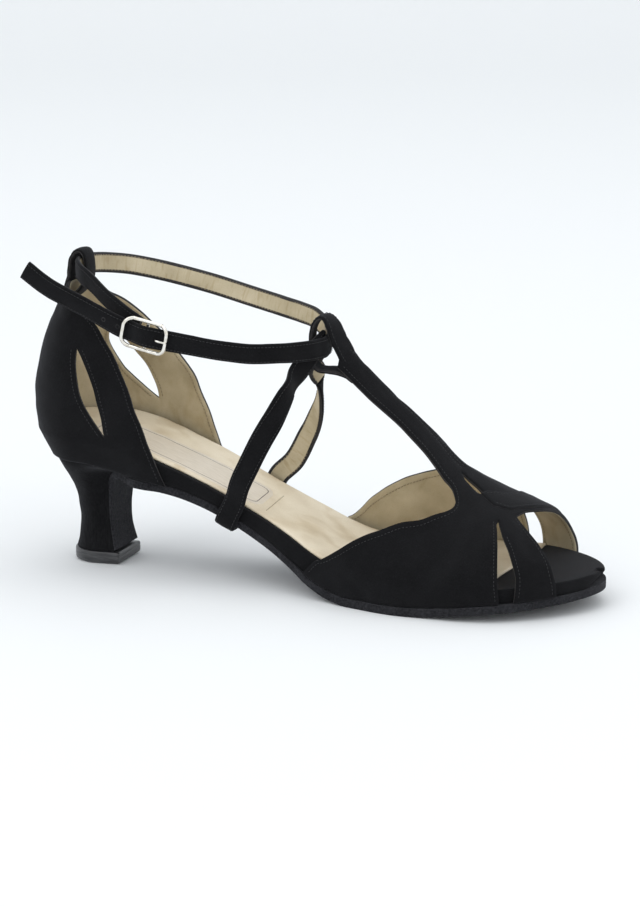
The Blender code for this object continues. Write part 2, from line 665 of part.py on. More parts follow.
def heel_ring(share, grow=0.0):
    """Outline of the heel block at a level: flat breast, round back."""
    back = heel_back(share) - grow
    front = heel_front(share)
    nose = HEEL_NOSE * (front - back)
    belly = heel_belly(share) + grow
    breast = heel_breast(share) + grow
    half = [(front, 0.0), (front, breast * 0.5)]
    for k in range(3):
        t = k / 3
        blend = t * t * (3 - 2 * t)
        half.append((front + (back + nose - front) * t, breast + (belly - breast) * blend))
    for k in range(ARC_STEPS + 1):
        turn = math.pi / 2 * (1 - k / ARC_STEPS)
        half.append((back + nose * (1 - math.cos(turn)), belly * math.sin(turn)))
    lateral_half = [(station, -side) for station, side in half]
    medial_half = half[1:-1]
    return lateral_half + medial_half[::-1]


def heel_point(station, side, share):
    seat = board_bottom(station) - GAP
    floor = LIFT + GAP
    return place(station, side, floor + (seat - floor) * share)


def heel():
    rings = []
    for share in HEEL_LEVELS:
        rings.append([heel_point(station, side, share) for station, side in heel_ring(share)])
    return loft("heel_block", rings, SUEDE)


def top_lift():
    """D-shaped lift, flat underneath, that shows a little past the heel block."""
    rings = []
    reach = LIFT_FRONT - heel_front(0)
    for height, grow in ((0.0, LIFT_EDGE), (LIFT * 0.9, LIFT_EDGE), (LIFT, LIFT_EDGE * 0.6)):
        ring = []
        for station, side in heel_ring(0, grow):
            ahead = max(0.0, (station - heel_back(0)) / (heel_front(0) - heel_back(0)))
            ring.append(place(station + reach * ahead ** 4, side, height))
        rings.append(ring)
    return loft("top_lift", rings, LIFT_PLASTIC)


def outsole():
    """Suede sole from the foot of the breast, up over it and forward to the toe."""
    rings = []
    for share in (SOLE_FOOT,) + HEEL_LEVELS[1:-1]:
        station = heel_front(share)
        inner = heel_point(station, 0, share)
        along = heel_point(heel_front(share + 0.01), 0, share + 0.01) - inner
        down = Vector((along.z, 0, -along.x)).normalized()
        thick = FLAP + (OUTSOLE - FLAP) * max(0.0, (share - 0.6) / 0.4)
        width = heel_breast(share) + GAP
        inner += down * GAP
        rings.append(sole_ring(inner, inner + down * thick, width, width))
    start = SEAT_DEPTH + 2.5 * MM
    steps = 26
    front = TOE_START - TOE_ROUND
    stations = [start + (front - start) * k / steps for k in range(steps + 1)]
    turns = [math.radians(90 - 84 * k / (ARC_STEPS + 1)) for k in range(1, ARC_STEPS + 2)]
    stations += [front + (TOE_ROUND + TOE_EDGE) * math.cos(turn) for turn in turns]
    for station in stations:
        upper = place(station, 0, underside(station) + OUTSOLE)
        lower = place(station, 0, underside(station))
        rings.append(sole_ring(upper, lower, sole_half(station, -1), sole_half(station, 1)))
    return loft("outsole", rings, SOLE_SUEDE)


def sole_ring(upper, lower, left, right):
    out = [Vector((0, side, 0)) for side in (-left, 0, right)]
    return [lower + side for side in out] + [upper + side for side in reversed(out)]


def sole_half(station, side):
    """Half width of the outsole: the board's own at the waist, past the upper at the ball."""
    ball = min(1.0, max(0.0, (station / LENGTH - 0.47) / 0.10))
    ball = ball * ball * (3 - 2 * ball)
    seat = seat_share(station)
    grow = max((FIT + WALL + WELT) * ball, (FIT + WALL) * seat)
    toe = min(1.0, max(0.0, (station - TOE_START + TOE_ROUND) / TOE_ROUND))
    grow += (TOE_EDGE - grow) * toe
    spread = min(1.0, 0.93 + 0.07 * (station - SEAT_DEPTH) / (HEEL_ROUND * 0.3))
    return half_width(station, side, grow) * spread


def mirrored(points):
    """The same outline on the outer side of the foot, in the same sense of travel."""
    return [Rim(-point.around, point.height) for point in reversed(points)]


def inner_edge():
    """Front edge of the counter on the inner side, further forward than the outer one below."""
    moved = []
    for point in COUNTER_EDGE:
        low = min(1.0, max(0.0, (0.66 - point.height) / 0.3))
        moved.append(Rim(point.around + INNER_FORWARD * low, point.height))
    return moved


def counter():
    """Back of the upper with a slot in each side and the loop that carries the ankle strap."""
    scale = (34 * MM, COUNTER)
    inner = inner_edge()
    outer = mirrored(COUNTER_EDGE)
    far = inner[-1].around
    near = outer[0].around
    bottom = [Rim(far + (near - far) * k / 24, SEAT) for k in range(1, 24)]
    edge = inner + bottom + outer
    slots = [INNER_SLOT, mirrored(OUTER_SLOT)]
    outlines = [[(p.around, p.height) for p in points] for points in [edge] + slots]

    wall = bake(patch("upper_counter", outlines, scale, rear_surface, SUEDE, WALL))
    strap_back = ankle_point("back")
    spine = curve_through([strap_back + Vector((x * MM, 0, z * MM)) for x, z in HEEL_LOOP], LOOP_STEP)
    loop = bake(ribbon("heel_loop", spine, LOOP_WIDTH, LOOP_WALL, Vector((0, 1, 0)), SUEDE, where=tools))
    return join(wall, loop)


def bar_loop_path(step):
    """Spine of the loop that the T-bar's end makes, and the direction of its width."""
    middle = ankle_point("front")
    along = (ankle_point("front", 1) - ankle_point("front", -1)).normalized()
    ahead = Vector((along.y, -along.x, 0)).normalized()
    knots = [middle + ahead * fold.ahead * MM + Vector((0, 0, fold.above * MM)) for fold in BAR_LOOP]
    spine = curve_through(knots, step)
    travelled = [0.0]
    for a, b in zip(knots, knots[1:]):
        travelled.append(travelled[-1] + (b - a).length)
    turn_at = smooth(travelled, [fold.turn for fold in BAR_LOOP])
    tilt_at = smooth(travelled, [fold.tilt for fold in BAR_LOOP])
    across = []
    for i in range(len(spine)):
        along_loop = travelled[-1] * i / (len(spine) - 1)
        turn = math.radians(turn_at(along_loop))
        tilt = math.radians(tilt_at(along_loop))
        across.append(Vector((-math.sin(turn), math.cos(turn), math.tan(tilt))).normalized())
    return spine, across


def front():
    """Vamp, T-bar with its loop and the two crossed toe straps, in one wall."""
    scale = (LENGTH, 52 * MM)
    foot = [Edge(0.522 + (0.864 - 0.522) * k / 18, -FOOT) for k in range(1, 18)]
    strap_foot = [Edge(0.886 + (0.944 - 0.886) * k / 4, -FOOT) for k in range(1, 4)]
    upper_foot = [Edge(0.921 + (0.850 - 0.921) * k / 4, FOOT) for k in range(1, 4)]
    medial_foot = [Edge(0.826 + (0.514 - 0.826) * k / 16, FOOT) for k in range(1, 16)]
    edge = (BAR_EDGE + THROAT + foot + VAMP_FRONT + LOWER_STRAP_BACK + strap_foot
            + LOWER_STRAP_FRONT + UPPER_STRAP_FRONT + upper_foot + UPPER_STRAP_BACK
            + MEDIAL_FRONT + medial_foot + MEDIAL_THROAT + MEDIAL_BAR_EDGE)
    outlines = [[(p.station, p.girth) for p in points] for points in (edge, CROSS_GAP)]

    def bent(station, girth):
        return front_surface(station * LENGTH, girth)

    wall = bake(patch("upper_front", outlines, scale, bent, SUEDE, WALL))
    band_edge = [(p.station, p.girth) for p in BAND_BACK + BAND_FRONT]
    band = bake(patch("upper_toe_strap", [band_edge], scale, bent, SUEDE, OVERLAY + WALL * 0.4,
                      where=tools, grow=OVERLAY))
    spine, across = bar_loop_path(LOOP_STEP)
    loop = bake(ribbon("bar_loop", spine, BAR_LOOP_WIDTH, LOOP_WALL, across, SUEDE, where=tools))
    return join(wall, loop, band)


def knot_point(knot):
    return place(knot.station * LENGTH, knot.side * BALL_WIDTH, knot.height * INSTEP)


def ankle_point(spot, past=0):
    """Middle of the ankle strap at one of its holds, or a few rows past it."""
    return knot_point(ANKLE[ANKLE_ROWS[spot] + past])


def ankle_strap():
    spine = curve_through([knot_point(knot) for knot in ANKLE], STRAP_STEP)
    centre = place(ANKLE_CENTRE * LENGTH, 0, 0)
    up = []
    for i, point in enumerate(spine):
        out = Vector((point.x - centre.x, point.y, 0)).normalized()
        near = min((point - ankle_point(spot)).length for spot in ANKLE_ROWS)
        share = min(1.0, max(0.0, (near - ANKLE_WIDTH) / (2 * ANKLE_WIDTH)))
        up.append(Vector((0, 0, 1)) + out * ANKLE_LEAN * share)
    return ribbon("ankle_strap", spine, ANKLE_WIDTH, STRAP, up, SUEDE)


def arch_strap():
    """Closed strap from the T-bar down both sides and round under the waist."""
    station = ARCH_STATION * LENGTH
    slope = (underside(station + MM) - underside(station - MM)) / (2 * MM)
    back = Vector((-1, 0, -slope)).normalized()
    down = Vector((slope, 0, -1)).normalized()
    under = place(station, 0, underside(station)) + down * (ARCH_ROOM + STRAP / 2)
    rim = -down * (board_top(station) - underside(station) + GAP + STRAP)
    sides = {}
    for side in (-1, 1):
        near = [station + ARCH_WIDTH * share for share in (-0.9, -0.45, 0, 0.45, 0.9, 1.35)]
        reach = max(max(half_width(x, side), sole_half(x, side)) for x in near)
        edge = side * (reach + ARCH_ROOM + STRAP / 2)
        turn = ARCH_CORNER
        low = [under + Vector((0, edge, 0)) + rim, under + Vector((0, edge, 0)) + rim * 0.5,
               under + Vector((0, edge, 0)) - down * turn,
               under + Vector((0, edge - side * turn * 0.3, 0)) - down * turn * 0.3,
               under + Vector((0, edge - side * turn, 0))]
        sides[side] = [knot_point(knot) for knot in ARCH_SIDES[side]] + low
    points = [knot_point(knot) for knot in ARCH_TOP] + sides[-1] + [under] + sides[1][::-1]
    spine = curve_through(points, STRAP_STEP * 0.8, closed=True)
    floor = board_top(station) + STRAP
    up = []
    for point in spine:
        share = min(1.0, max(0.0, (floor * 1.7 - point.z) / floor))
        up.append(Vector((0, 0, 1)).lerp(back, share))
    return ribbon("arch_strap", spine, ARCH_WIDTH, STRAP, up, SUEDE, closed=True)


def wire(name, points, radius, closed, finish):
    curve = bpy.data.curves.new(name, "CURVE")
    curve.dimensions = "3D"
    curve.bevel_depth = radius
    curve.bevel_resolution = 2
    curve.use_fill_caps = True
    spline = curve.splines.new("POLY")
    spline.points.add(len(points) - 1)
    for slot, point in zip(spline.points, points):
        slot.co = (*point, 1.0)
    spline.use_cyclic_u = closed
    curve.materials.append(material(finish))
    made = bpy.data.objects.new(name, curve)
    tools.objects.link(made)
    seen = made.evaluated_get(bpy.context.evaluated_depsgraph_get())
    mesh = bpy.data.meshes.new_from_object(seen)
    work = bmesh.new()
    work.from_mesh(mesh)
    bmesh.ops.remove_doubles(work, verts=work.verts, dist=0.00001)
    place_matrix = made.matrix_world.copy()
    bpy.data.objects.remove(made, do_unlink=True)
    mesh.materials.clear()
    result = finish_mesh(name, work, finish, tools)
    result.matrix_world = place_matrix
    return result


def buckle():
    """Rounded frame with a centre bar over which the strap runs, and the tip of its prong."""
    middle = ankle_point("buckle")
    ahead = (ankle_point("buckle", 1) - ankle_point("buckle", -1)).normalized()
    up = (Vector((0, 0, 1)) - ahead.z * ahead).normalized()
    out = ahead.cross(up)
    if out.y > 0:
        out = -out
    radius = BUCKLE_WIRE / 2
    middle = middle - out * (STRAP / 2 + GAP * 2 + radius)
    half_length = BUCKLE_LENGTH / 2 - radius
    half_height = ANKLE_WIDTH / 2 + BUCKLE_ROOM + radius
    corner = BUCKLE_LENGTH * 0.18
    loop = []
    for sx, sz, start in ((1, 1, 0), (-1, 1, 90), (-1, -1, 180), (1, -1, 270)):
        for k in range(5):
            turn = math.radians(start + 90 * k / 4)
            x = sx * (half_length - corner) + corner * math.cos(turn)
            z = sz * (half_height - corner) + corner * math.sin(turn)
            loop.append(middle + ahead * x + up * z + out * (x / half_length) ** 2 * BUCKLE_BOW)
    frame = wire("buckle_frame", loop, radius, True, NICKEL)
    bar_ends = [middle + up * half_height * share for share in (-1, -0.33, 0.33, 1)]
    bar = wire("buckle_bar", bar_ends, radius * 0.85, False, NICKEL)
    rest = middle + ahead * half_length + out * (BUCKLE_BOW + radius + PRONG * 0.5)
    hole = ankle_point("buckle") + ahead * PRONG_REACH + out * (STRAP / 2 + GAP + PRONG)
    tip = wire("prong_tip", [hole, hole.lerp(rest, 0.5), rest + ahead * PRONG], PRONG, False, NICKEL)
    shoe.objects.link(frame)
    tools.objects.unlink(frame)
    frame.hide_render = False
    frame.display_type = "TEXTURED"
    return join(frame, bar, tip)


insole()
sock()
heel()
top_lift()
outsole()
counter()
front()
ankle_strap()
arch_strap()
buckle()
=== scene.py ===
"""Looks of the ballroom dance sandal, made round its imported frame.

Metres, in the part's own frame: +Z up, toe towards +X, inner side towards +Y, the origin in the
middle of the top lift on the floor. The sizes and tables are those of the part's own source.
"""
import math
from collections import namedtuple

import bmesh
import bpy
import numpy as np
from mathutils import Matrix, Vector, noise
from mathutils.geometry import delaunay_2d_cdt


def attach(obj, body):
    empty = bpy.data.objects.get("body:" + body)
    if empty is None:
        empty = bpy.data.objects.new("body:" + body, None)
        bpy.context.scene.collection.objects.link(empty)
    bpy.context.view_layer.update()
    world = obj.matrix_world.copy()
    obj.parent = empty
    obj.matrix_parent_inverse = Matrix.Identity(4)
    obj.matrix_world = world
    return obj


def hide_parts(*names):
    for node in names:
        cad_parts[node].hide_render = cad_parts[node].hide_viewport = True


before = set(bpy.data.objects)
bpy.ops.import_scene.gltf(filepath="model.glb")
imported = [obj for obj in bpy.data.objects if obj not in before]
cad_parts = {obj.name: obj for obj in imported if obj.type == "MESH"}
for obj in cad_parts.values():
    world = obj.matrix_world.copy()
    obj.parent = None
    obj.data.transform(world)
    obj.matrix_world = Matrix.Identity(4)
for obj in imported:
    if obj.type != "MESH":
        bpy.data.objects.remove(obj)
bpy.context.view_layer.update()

MM = 0.001

# Driving sizes
LENGTH = 242 * MM           # last, back to tip; stations are shares of it
HEEL_START = 5.2 * MM       # station of the back of the insole board
TOE_START = 240.4 * MM      # station of its tip
BALL_WIDTH = 78 * MM        # insole board at the ball
HEEL_RISE = 43 * MM         # underside of the waist above the floor, at the back
BOARD = 11.5 * MM           # covered insole board under the heel
OUTSOLE = 3.2 * MM
SOCK = 1.0 * MM             # sock lining on the board
SOCK_INSET = 1.0 * MM       # rim of the board left bare around the sock
SOCK_LENGTH = 208 * MM      # the sock ends behind the toes
WALL = 1.8 * MM             # suede, reinforcement and lining together
GAP = 0.3 * MM              # between pieces that touch
FIT = 0.6 * MM              # between the upper's wall and the board it is lasted round
HEEL_ROUND = 27 * MM        # station where the round end at the heel begins
TOE_ROUND = 38.5 * MM       # length of the round end at the toe
TOE_EDGE = 0.5 * MM         # outsole past the board at the toe
DRAW = 4.0 * MM             # how much further the board's underside draws in at the back
TUCK = 3.0 * MM             # how far the board's underside draws in at the seat
BOARD_EDGE = 1.1 * MM       # softened rim of the board
WELT = 0.5 * MM             # outsole edge that shows past the upper

# Heel block and top lift
LIFT = 5.0 * MM             # thickness of the top lift
LIFT_EDGE = 0.7 * MM        # lift that shows past the heel block
SEAT_DEPTH = 50 * MM        # from the back of the insole to the breast, at the seat
SEAT_WIDTH = 51.2 * MM      # heel block at the seat
FLAP = 1.4 * MM             # outsole leather down the breast

# Upper
INSTEP = 103 * MM           # height of the T-bar where it meets the ankle strap
COUNTER = 69 * MM           # top of the heel loop above the rim of the board
REAR_RUN = 50 * MM          # length of one unit of the counter's pattern past the round end
OVERLAY = 0.6 * MM          # how far the upper toe strap stands on the lower one

# Straps and loops
ANKLE_WIDTH = 8.4 * MM
ARCH_WIDTH = 9.0 * MM
STRAP = 1.8 * MM
LOOP_WIDTH = 9.4 * MM       # heel loop
BAR_LOOP_WIDTH = 9.8 * MM  # loop on top of the T-bar
LOOP_WALL = 1.5 * MM

# Buckle
BUCKLE_LENGTH = 20 * MM
BUCKLE_WIRE = 1.5 * MM
BUCKLE_ROOM = 0.8 * MM      # between the strap's edge and the frame
BUCKLE_BOW = 2.6 * MM       # how far the frame's ends stand outside its centre bar
PRONG = 0.5 * MM            # radius of the prong's tip
PRONG_REACH = 4.6 * MM      # from the centre bar to the hole it comes through

Section = namedtuple("Section", "station lateral medial rise board")
Level = namedtuple("Level", "level back front belly breast")
Last = namedtuple("Last", "station ridge shift blunt")
Rear = namedtuple("Rear", "height back nose width")
Edge = namedtuple("Edge", "station girth")
Rim = namedtuple("Rim", "around height")
Knot = namedtuple("Knot", "station side height")

# Insole board and sole. station of LENGTH, lateral and medial half widths of BALL_WIDTH,
# rise of the outsole's underside of HEEL_RISE, board thickness of BOARD.
SOLE = [
    Section(0.000, 0.340, 0.340, 1.000, 1.00),
    Section(0.120, 0.340, 0.340, 0.977, 1.00),
    Section(0.180, 0.337, 0.337, 0.921, 1.00),
    Section(0.219, 0.328, 0.331, 0.867, 0.94),
    Section(0.256, 0.318, 0.323, 0.842, 0.74),
    Section(0.290, 0.309, 0.315, 0.805, 0.61),
    Section(0.331, 0.300, 0.305, 0.733, 0.52),
    Section(0.372, 0.297, 0.292, 0.637, 0.50),
    Section(0.413, 0.303, 0.283, 0.521, 0.54),
    Section(0.455, 0.315, 0.285, 0.388, 0.63),
    Section(0.496, 0.340, 0.301, 0.244, 0.75),
    Section(0.537, 0.372, 0.333, 0.107, 0.81),
    Section(0.579, 0.409, 0.369, 0.026, 0.78),
    Section(0.612, 0.440, 0.402, 0.000, 0.74),
    Section(0.705, 0.497, 0.466, 0.000, 0.67),
    Section(0.785, 0.497, 0.490, 0.038, 0.57),
    Section(0.847, 0.469, 0.477, 0.076, 0.48),
    Section(0.909, 0.415, 0.433, 0.102, 0.45),
    Section(0.959, 0.365, 0.385, 0.128, 0.42),
    Section(1.000, 0.308, 0.333, 0.155, 0.38),
]

# Heel block from the lift, 0, to the seat, 1. back and front of SEAT_DEPTH, half widths of
# SEAT_WIDTH at the belly and at the breast.
HEEL = [
    Level(0.00, 0.334, 0.736, 0.219, 0.201),
    Level(0.10, 0.358, 0.718, 0.211, 0.188),
    Level(0.22, 0.370, 0.700, 0.207, 0.178),
    Level(0.33, 0.376, 0.692, 0.213, 0.180),
    Level(0.44, 0.368, 0.690, 0.226, 0.187),
    Level(0.54, 0.362, 0.694, 0.248, 0.199),
    Level(0.65, 0.343, 0.700, 0.285, 0.211),
    Level(0.78, 0.304, 0.712, 0.350, 0.232),
    Level(0.87, 0.270, 0.744, 0.415, 0.252),
    Level(0.94, 0.236, 0.820, 0.460, 0.312),
    Level(1.00, 0.196, 1.000, 0.488, 0.460),
]
HEEL_NOSE = 0.56            # share of the heel's depth that is its round back
HEEL_LEVELS = (0, 0.1, 0.22, 0.33, 0.44, 0.54, 0.65, 0.78, 0.87, 0.905, 0.94, 0.965, 0.985, 1)
SOLE_FOOT = 0.015           # level at which the outsole's flap begins

# Last under the front of the upper. ridge height of INSTEP, shift of the ridge to the inner
# side of BALL_WIDTH, blunt is the exponent of the arch from rim to ridge.
LAST = [
    Last(0.500, 1.060, 0.050, 1.30),
    Last(0.521, 0.990, 0.050, 1.30),
    Last(0.562, 0.900, 0.050, 1.35),
    Last(0.628, 0.756, 0.055, 1.40),
    Last(0.694, 0.626, 0.055, 1.40),
    Last(0.748, 0.507, 0.050, 1.40),
    Last(0.773, 0.470, 0.050, 1.50),
    Last(0.793, 0.445, 0.045, 1.60),
    Last(0.843, 0.393, 0.035, 1.80),
    Last(0.893, 0.342, 0.030, 1.90),
    Last(0.950, 0.255, 0.010, 1.90),
    Last(1.000, 0.170, 0.000, 1.90),
]

# Counter above the rim of the board. height of COUNTER, back and nose length of HEEL_ROUND,
# width as a share of the board's own half width.
REAR = [
    Rear(0.000, 0.089, 0.911, 1.00),
    Rear(0.115, 0.052, 0.941, 1.01),
    Rear(0.215, 0.052, 0.919, 1.00),
    Rear(0.320, 0.089, 0.867, 0.97),
    Rear(0.420, 0.144, 0.793, 0.92),
    Rear(0.515, 0.215, 0.722, 0.86),
    Rear(0.615, 0.300, 0.633, 0.78),
    Rear(0.670, 0.367, 0.563, 0.72),
    Rear(0.740, 0.444, 0.493, 0.61),
    Rear(0.800, 0.522, 0.381, 0.49),
    Rear(0.860, 0.563, 0.330, 0.38),
    Rear(0.930, 0.604, 0.300, 0.30),
    Rear(1.000, 0.648, 0.280, 0.25),
]

# Pattern of the front of the upper. girth is 0 on the ridge, 1 at the rim of the board and
# FOOT at the bottom of the wall; the lateral side is negative.
FOOT = 1.2
BAR_EDGE = [
    Edge(0.545, -0.24), Edge(0.600, -0.235), Edge(0.645, -0.225), Edge(0.680, -0.24),
    Edge(0.715, -0.26), Edge(0.738, -0.29),
]
THROAT = [
    Edge(0.752, -0.31), Edge(0.762, -0.36), Edge(0.765, -0.40), Edge(0.759, -0.44),
    Edge(0.740, -0.50), Edge(0.719, -0.57), Edge(0.690, -0.63), Edge(0.663, -0.69),
    Edge(0.632, -0.75), Edge(0.597, -0.83), Edge(0.554, -0.97), Edge(0.522, -1.20),
]
VAMP_FRONT = [
    Edge(0.864, -1.20), Edge(0.864, -1.10), Edge(0.860, -0.83), Edge(0.853, -0.62),
    Edge(0.845, -0.48), Edge(0.839, -0.40), Edge(0.840, -0.37),
]
LOWER_STRAP_BACK = [
    Edge(0.853, -0.48), Edge(0.870, -0.61), Edge(0.882, -0.76), Edge(0.888, -0.91),
    Edge(0.886, -1.20),
]
LOWER_STRAP_FRONT = [
    Edge(0.944, -1.20), Edge(0.942, -0.96), Edge(0.931, -0.67), Edge(0.912, -0.49),
    Edge(0.886, -0.36), Edge(0.862, -0.26),
]
UPPER_STRAP_FRONT = [
    Edge(0.870, -0.16), Edge(0.885, -0.03), Edge(0.893, 0.10), Edge(0.900, 0.30),
    Edge(0.907, 0.52), Edge(0.914, 0.71), Edge(0.919, 0.90), Edge(0.921, 1.20),
]
UPPER_STRAP_BACK = [
    Edge(0.850, 1.20), Edge(0.850, 0.96), Edge(0.848, 0.78), Edge(0.842, 0.62),
    Edge(0.832, 0.48), Edge(0.820, 0.39), Edge(0.814, 0.37),
]
MEDIAL_FRONT = [
    Edge(0.815, 0.43), Edge(0.821, 0.65), Edge(0.824, 0.86), Edge(0.826, 1.20),
]
MEDIAL_THROAT = [
    Edge(0.514, 1.20), Edge(0.519, 1.01), Edge(0.548, 0.85), Edge(0.576, 0.76),
    Edge(0.610, 0.68), Edge(0.645, 0.61), Edge(0.677, 0.54), Edge(0.706, 0.46),
    Edge(0.726, 0.37), Edge(0.732, 0.28), Edge(0.726, 0.22),
]
MEDIAL_BAR_EDGE = [
    Edge(0.705, 0.19), Edge(0.670, 0.18), Edge(0.600, 0.17), Edge(0.545, 0.17),
]
CROSS_GAP = [
    Edge(0.758, -0.155), Edge(0.775, -0.170), Edge(0.790, -0.180), Edge(0.799, -0.195),
    Edge(0.795, -0.225), Edge(0.778, -0.212), Edge(0.765, -0.190),
]
# The upper toe strap again, as the band that lies on top at the crossing
BAND_BACK = [
    Edge(0.797, -0.23), Edge(0.803, -0.17), Edge(0.818, -0.11), Edge(0.834, -0.03),
    Edge(0.838, 0.10), Edge(0.838, 0.28), Edge(0.842, 0.50),
]
BAND_FRONT = [
    Edge(0.896, 0.50), Edge(0.893, 0.30), Edge(0.888, 0.10), Edge(0.880, -0.03),
    Edge(0.862, -0.17), Edge(0.848, -0.24), Edge(0.822, -0.27),
]

# Pattern of the counter's outer side. around is 0 at the back seam, 1 at the end of the round
# part; height of COUNTER above the rim, and SEAT is the bottom of the wall.
SEAT = -0.166
INNER_FORWARD = 0.14        # the inner side's front edge lies this much further forward below
COUNTER_EDGE = [
    Rim(0.30, 0.845), Rim(0.45, 0.830), Rim(0.65, 0.805), Rim(0.85, 0.772), Rim(1.04, 0.730),
    Rim(1.198, 0.664), Rim(1.294, 0.590), Rim(1.384, 0.517), Rim(1.464, 0.432),
    Rim(1.518, 0.362), Rim(1.560, 0.274), Rim(1.614, 0.188), Rim(1.654, 0.103),
    Rim(1.714, 0.000), Rim(1.800, SEAT),
]
# Slots: down along the rear edge to the lower tip, then back up along the front edge
OUTER_SLOT = [
    Rim(1.062, 0.515), Rim(1.062, 0.440), Rim(1.069, 0.370), Rim(1.088, 0.279), Rim(1.131, 0.190),
    Rim(1.196, 0.114), Rim(1.292, 0.030), Rim(1.272, 0.128), Rim(1.251, 0.210), Rim(1.222, 0.300),
    Rim(1.169, 0.393), Rim(1.112, 0.465),
]
INNER_SLOT = [
    Rim(0.862, 0.505), Rim(0.840, 0.430), Rim(0.880, 0.360), Rim(0.960, 0.285), Rim(1.057, 0.216),
    Rim(1.160, 0.160), Rim(1.294, 0.110), Rim(1.285, 0.170), Rim(1.262, 0.230), Rim(1.215, 0.300),
    Rim(1.138, 0.364), Rim(1.050, 0.440), Rim(0.960, 0.500),
]

# Straps: station of LENGTH, side of BALL_WIDTH, height of INSTEP, along each strap's middle
ANKLE = [
    Knot(0.036, -0.372, 1.201), Knot(0.066, -0.372, 1.153), Knot(0.095, -0.376, 1.118),
    Knot(0.150, -0.390, 1.066), Knot(0.200, -0.404, 1.016), Knot(0.228, -0.408, 0.994),
    Knot(0.256, -0.432, 0.980), Knot(0.284, -0.406, 0.966), Knot(0.330, -0.398, 0.953),
    Knot(0.380, -0.385, 0.938), Knot(0.425, -0.345, 0.926), Knot(0.462, -0.290, 0.926),
    Knot(0.494, -0.200, 0.924), Knot(0.517, -0.090, 0.924), Knot(0.522, 0.015, 0.930),
    Knot(0.509, 0.110, 0.966), Knot(0.480, 0.185, 1.002), Knot(0.450, 0.235, 1.015),
    Knot(0.414, 0.285, 1.026), Knot(0.342, 0.346, 1.054), Knot(0.275, 0.372, 1.087),
    Knot(0.211, 0.368, 1.118), Knot(0.165, 0.345, 1.140), Knot(0.129, 0.290, 1.159),
    Knot(0.101, 0.200, 1.173), Knot(0.088, 0.100, 1.182), Knot(0.084, 0.000, 1.185),
    Knot(0.089, -0.090, 1.181), Knot(0.105, -0.160, 1.170), Knot(0.126, -0.210, 1.152),
    Knot(0.154, -0.262, 1.118), Knot(0.190, -0.314, 1.070), Knot(0.218, -0.348, 1.032),
    Knot(0.238, -0.362, 1.006),
]
ARCH_SIDES = {
    -1: [Knot(0.5045, -0.090, 0.900), Knot(0.485, -0.172, 0.822), Knot(0.481, -0.245, 0.768),
         Knot(0.467, -0.302, 0.685), Knot(0.446, -0.328, 0.592), Knot(0.427, -0.338, 0.502),
         Knot(0.410, -0.342, 0.417)],
    1: [Knot(0.481, 0.150, 0.838), Knot(0.485, 0.205, 0.755), Knot(0.476, 0.266, 0.650),
        Knot(0.460, 0.310, 0.560), Knot(0.444, 0.336, 0.490), Knot(0.422, 0.346, 0.400)],
}
ARCH_TOP = [Knot(0.5030, 0.080, 0.919), Knot(0.5115, 0.000, 0.939)]
# Rows of ANKLE at the buckle and in the two loops
ANKLE_ROWS = {"buckle": 6, "front": 14, "back": 26}
ANKLE_CENTRE = 0.29         # middle of the ring the strap makes, of LENGTH
ANKLE_LEAN = 0.24           # outward lean of the strap's upper edge between its holds
ARCH_STATION = 0.381        # where the strap passes under the waist, of LENGTH
ARCH_CORNER = 2.6 * MM      # radius of its turns round the edge of the sole
ARCH_ROOM = 0.5 * MM        # between the strap and the side of the sole

# Loop on the T-bar: mm ahead of and above the middle of the ankle strap, and the turn and tilt of
# the band's width in degrees, so that its outer side faces a little outwards
Fold = namedtuple("Fold", "ahead above turn tilt")
BAR_LOOP = [
    Fold(11.4, -9.2, -12, 18), Fold(9.0, -6.4, -16, 16), Fold(6.6, -2.4, -20, 10),
    Fold(4.4, 1.9, -20, 6), Fold(3.0, 4.9, -18, 2), Fold(1.9, 7.8, -14, 0), Fold(0.2, 10.1, -8, 0),
    Fold(-2.2, 11.1, 0, 0), Fold(-4.8, 9.0, 6, 0), Fold(-6.2, 5.0, 8, 0), Fold(-6.6, 0.0, 8, 0),
    Fold(-6.6, -5.8, 8, 0), Fold(-3.6, -9.7, 4, 0), Fold(1.2, -10.3, -6, 2), Fold(5.6, -10.6, -12, 6),
    Fold(9.0, -11.2, -12, 10), Fold(11.6, -12.8, -12, 10),
]
# Heel loop: behind and above the middle of the ankle strap at the back
HEEL_LOOP = [(-7.4, -13.0), (-5.9, -9.2), (-4.7, -5.0), (-4.0, -1.0), (-3.3, 3.0), (-1.9, 5.4),
             (0.8, 6.1), (2.5, 4.4), (3.1, 0.4), (2.8, -5.0), (0.2, -9.6), (-3.6, -13.0), (-5.8, -15.6)]


def smooth(keys, values):
    """Monotone cubic through a table's column, held level past its ends."""
    steps = [b - a for a, b in zip(keys, keys[1:])]
    slopes = [(b - a) / step for a, b, step in zip(values, values[1:], steps)]
    lean = [slopes[0]]
    for before, after in zip(slopes, slopes[1:]):
        lean.append(0.0 if before * after <= 0 else 2 * before * after / (before + after))
    lean.append(slopes[-1])

    def value(key):
        key = min(max(key, keys[0]), keys[-1])
        row = max(i for i in range(len(steps)) if keys[i] <= key)
        step = steps[row]
        t = (key - keys[row]) / step
        start = (2 * t**3 - 3 * t**2 + 1) * values[row] + (t**3 - 2 * t**2 + t) * step * lean[row]
        end = (3 * t**2 - 2 * t**3) * values[row + 1] + (t**3 - t**2) * step * lean[row + 1]
        return start + end

    return value


def column(table, key, name, key_size, size):
    return smooth([getattr(row, key) * key_size for row in table],
                  [getattr(row, name) * size for row in table])


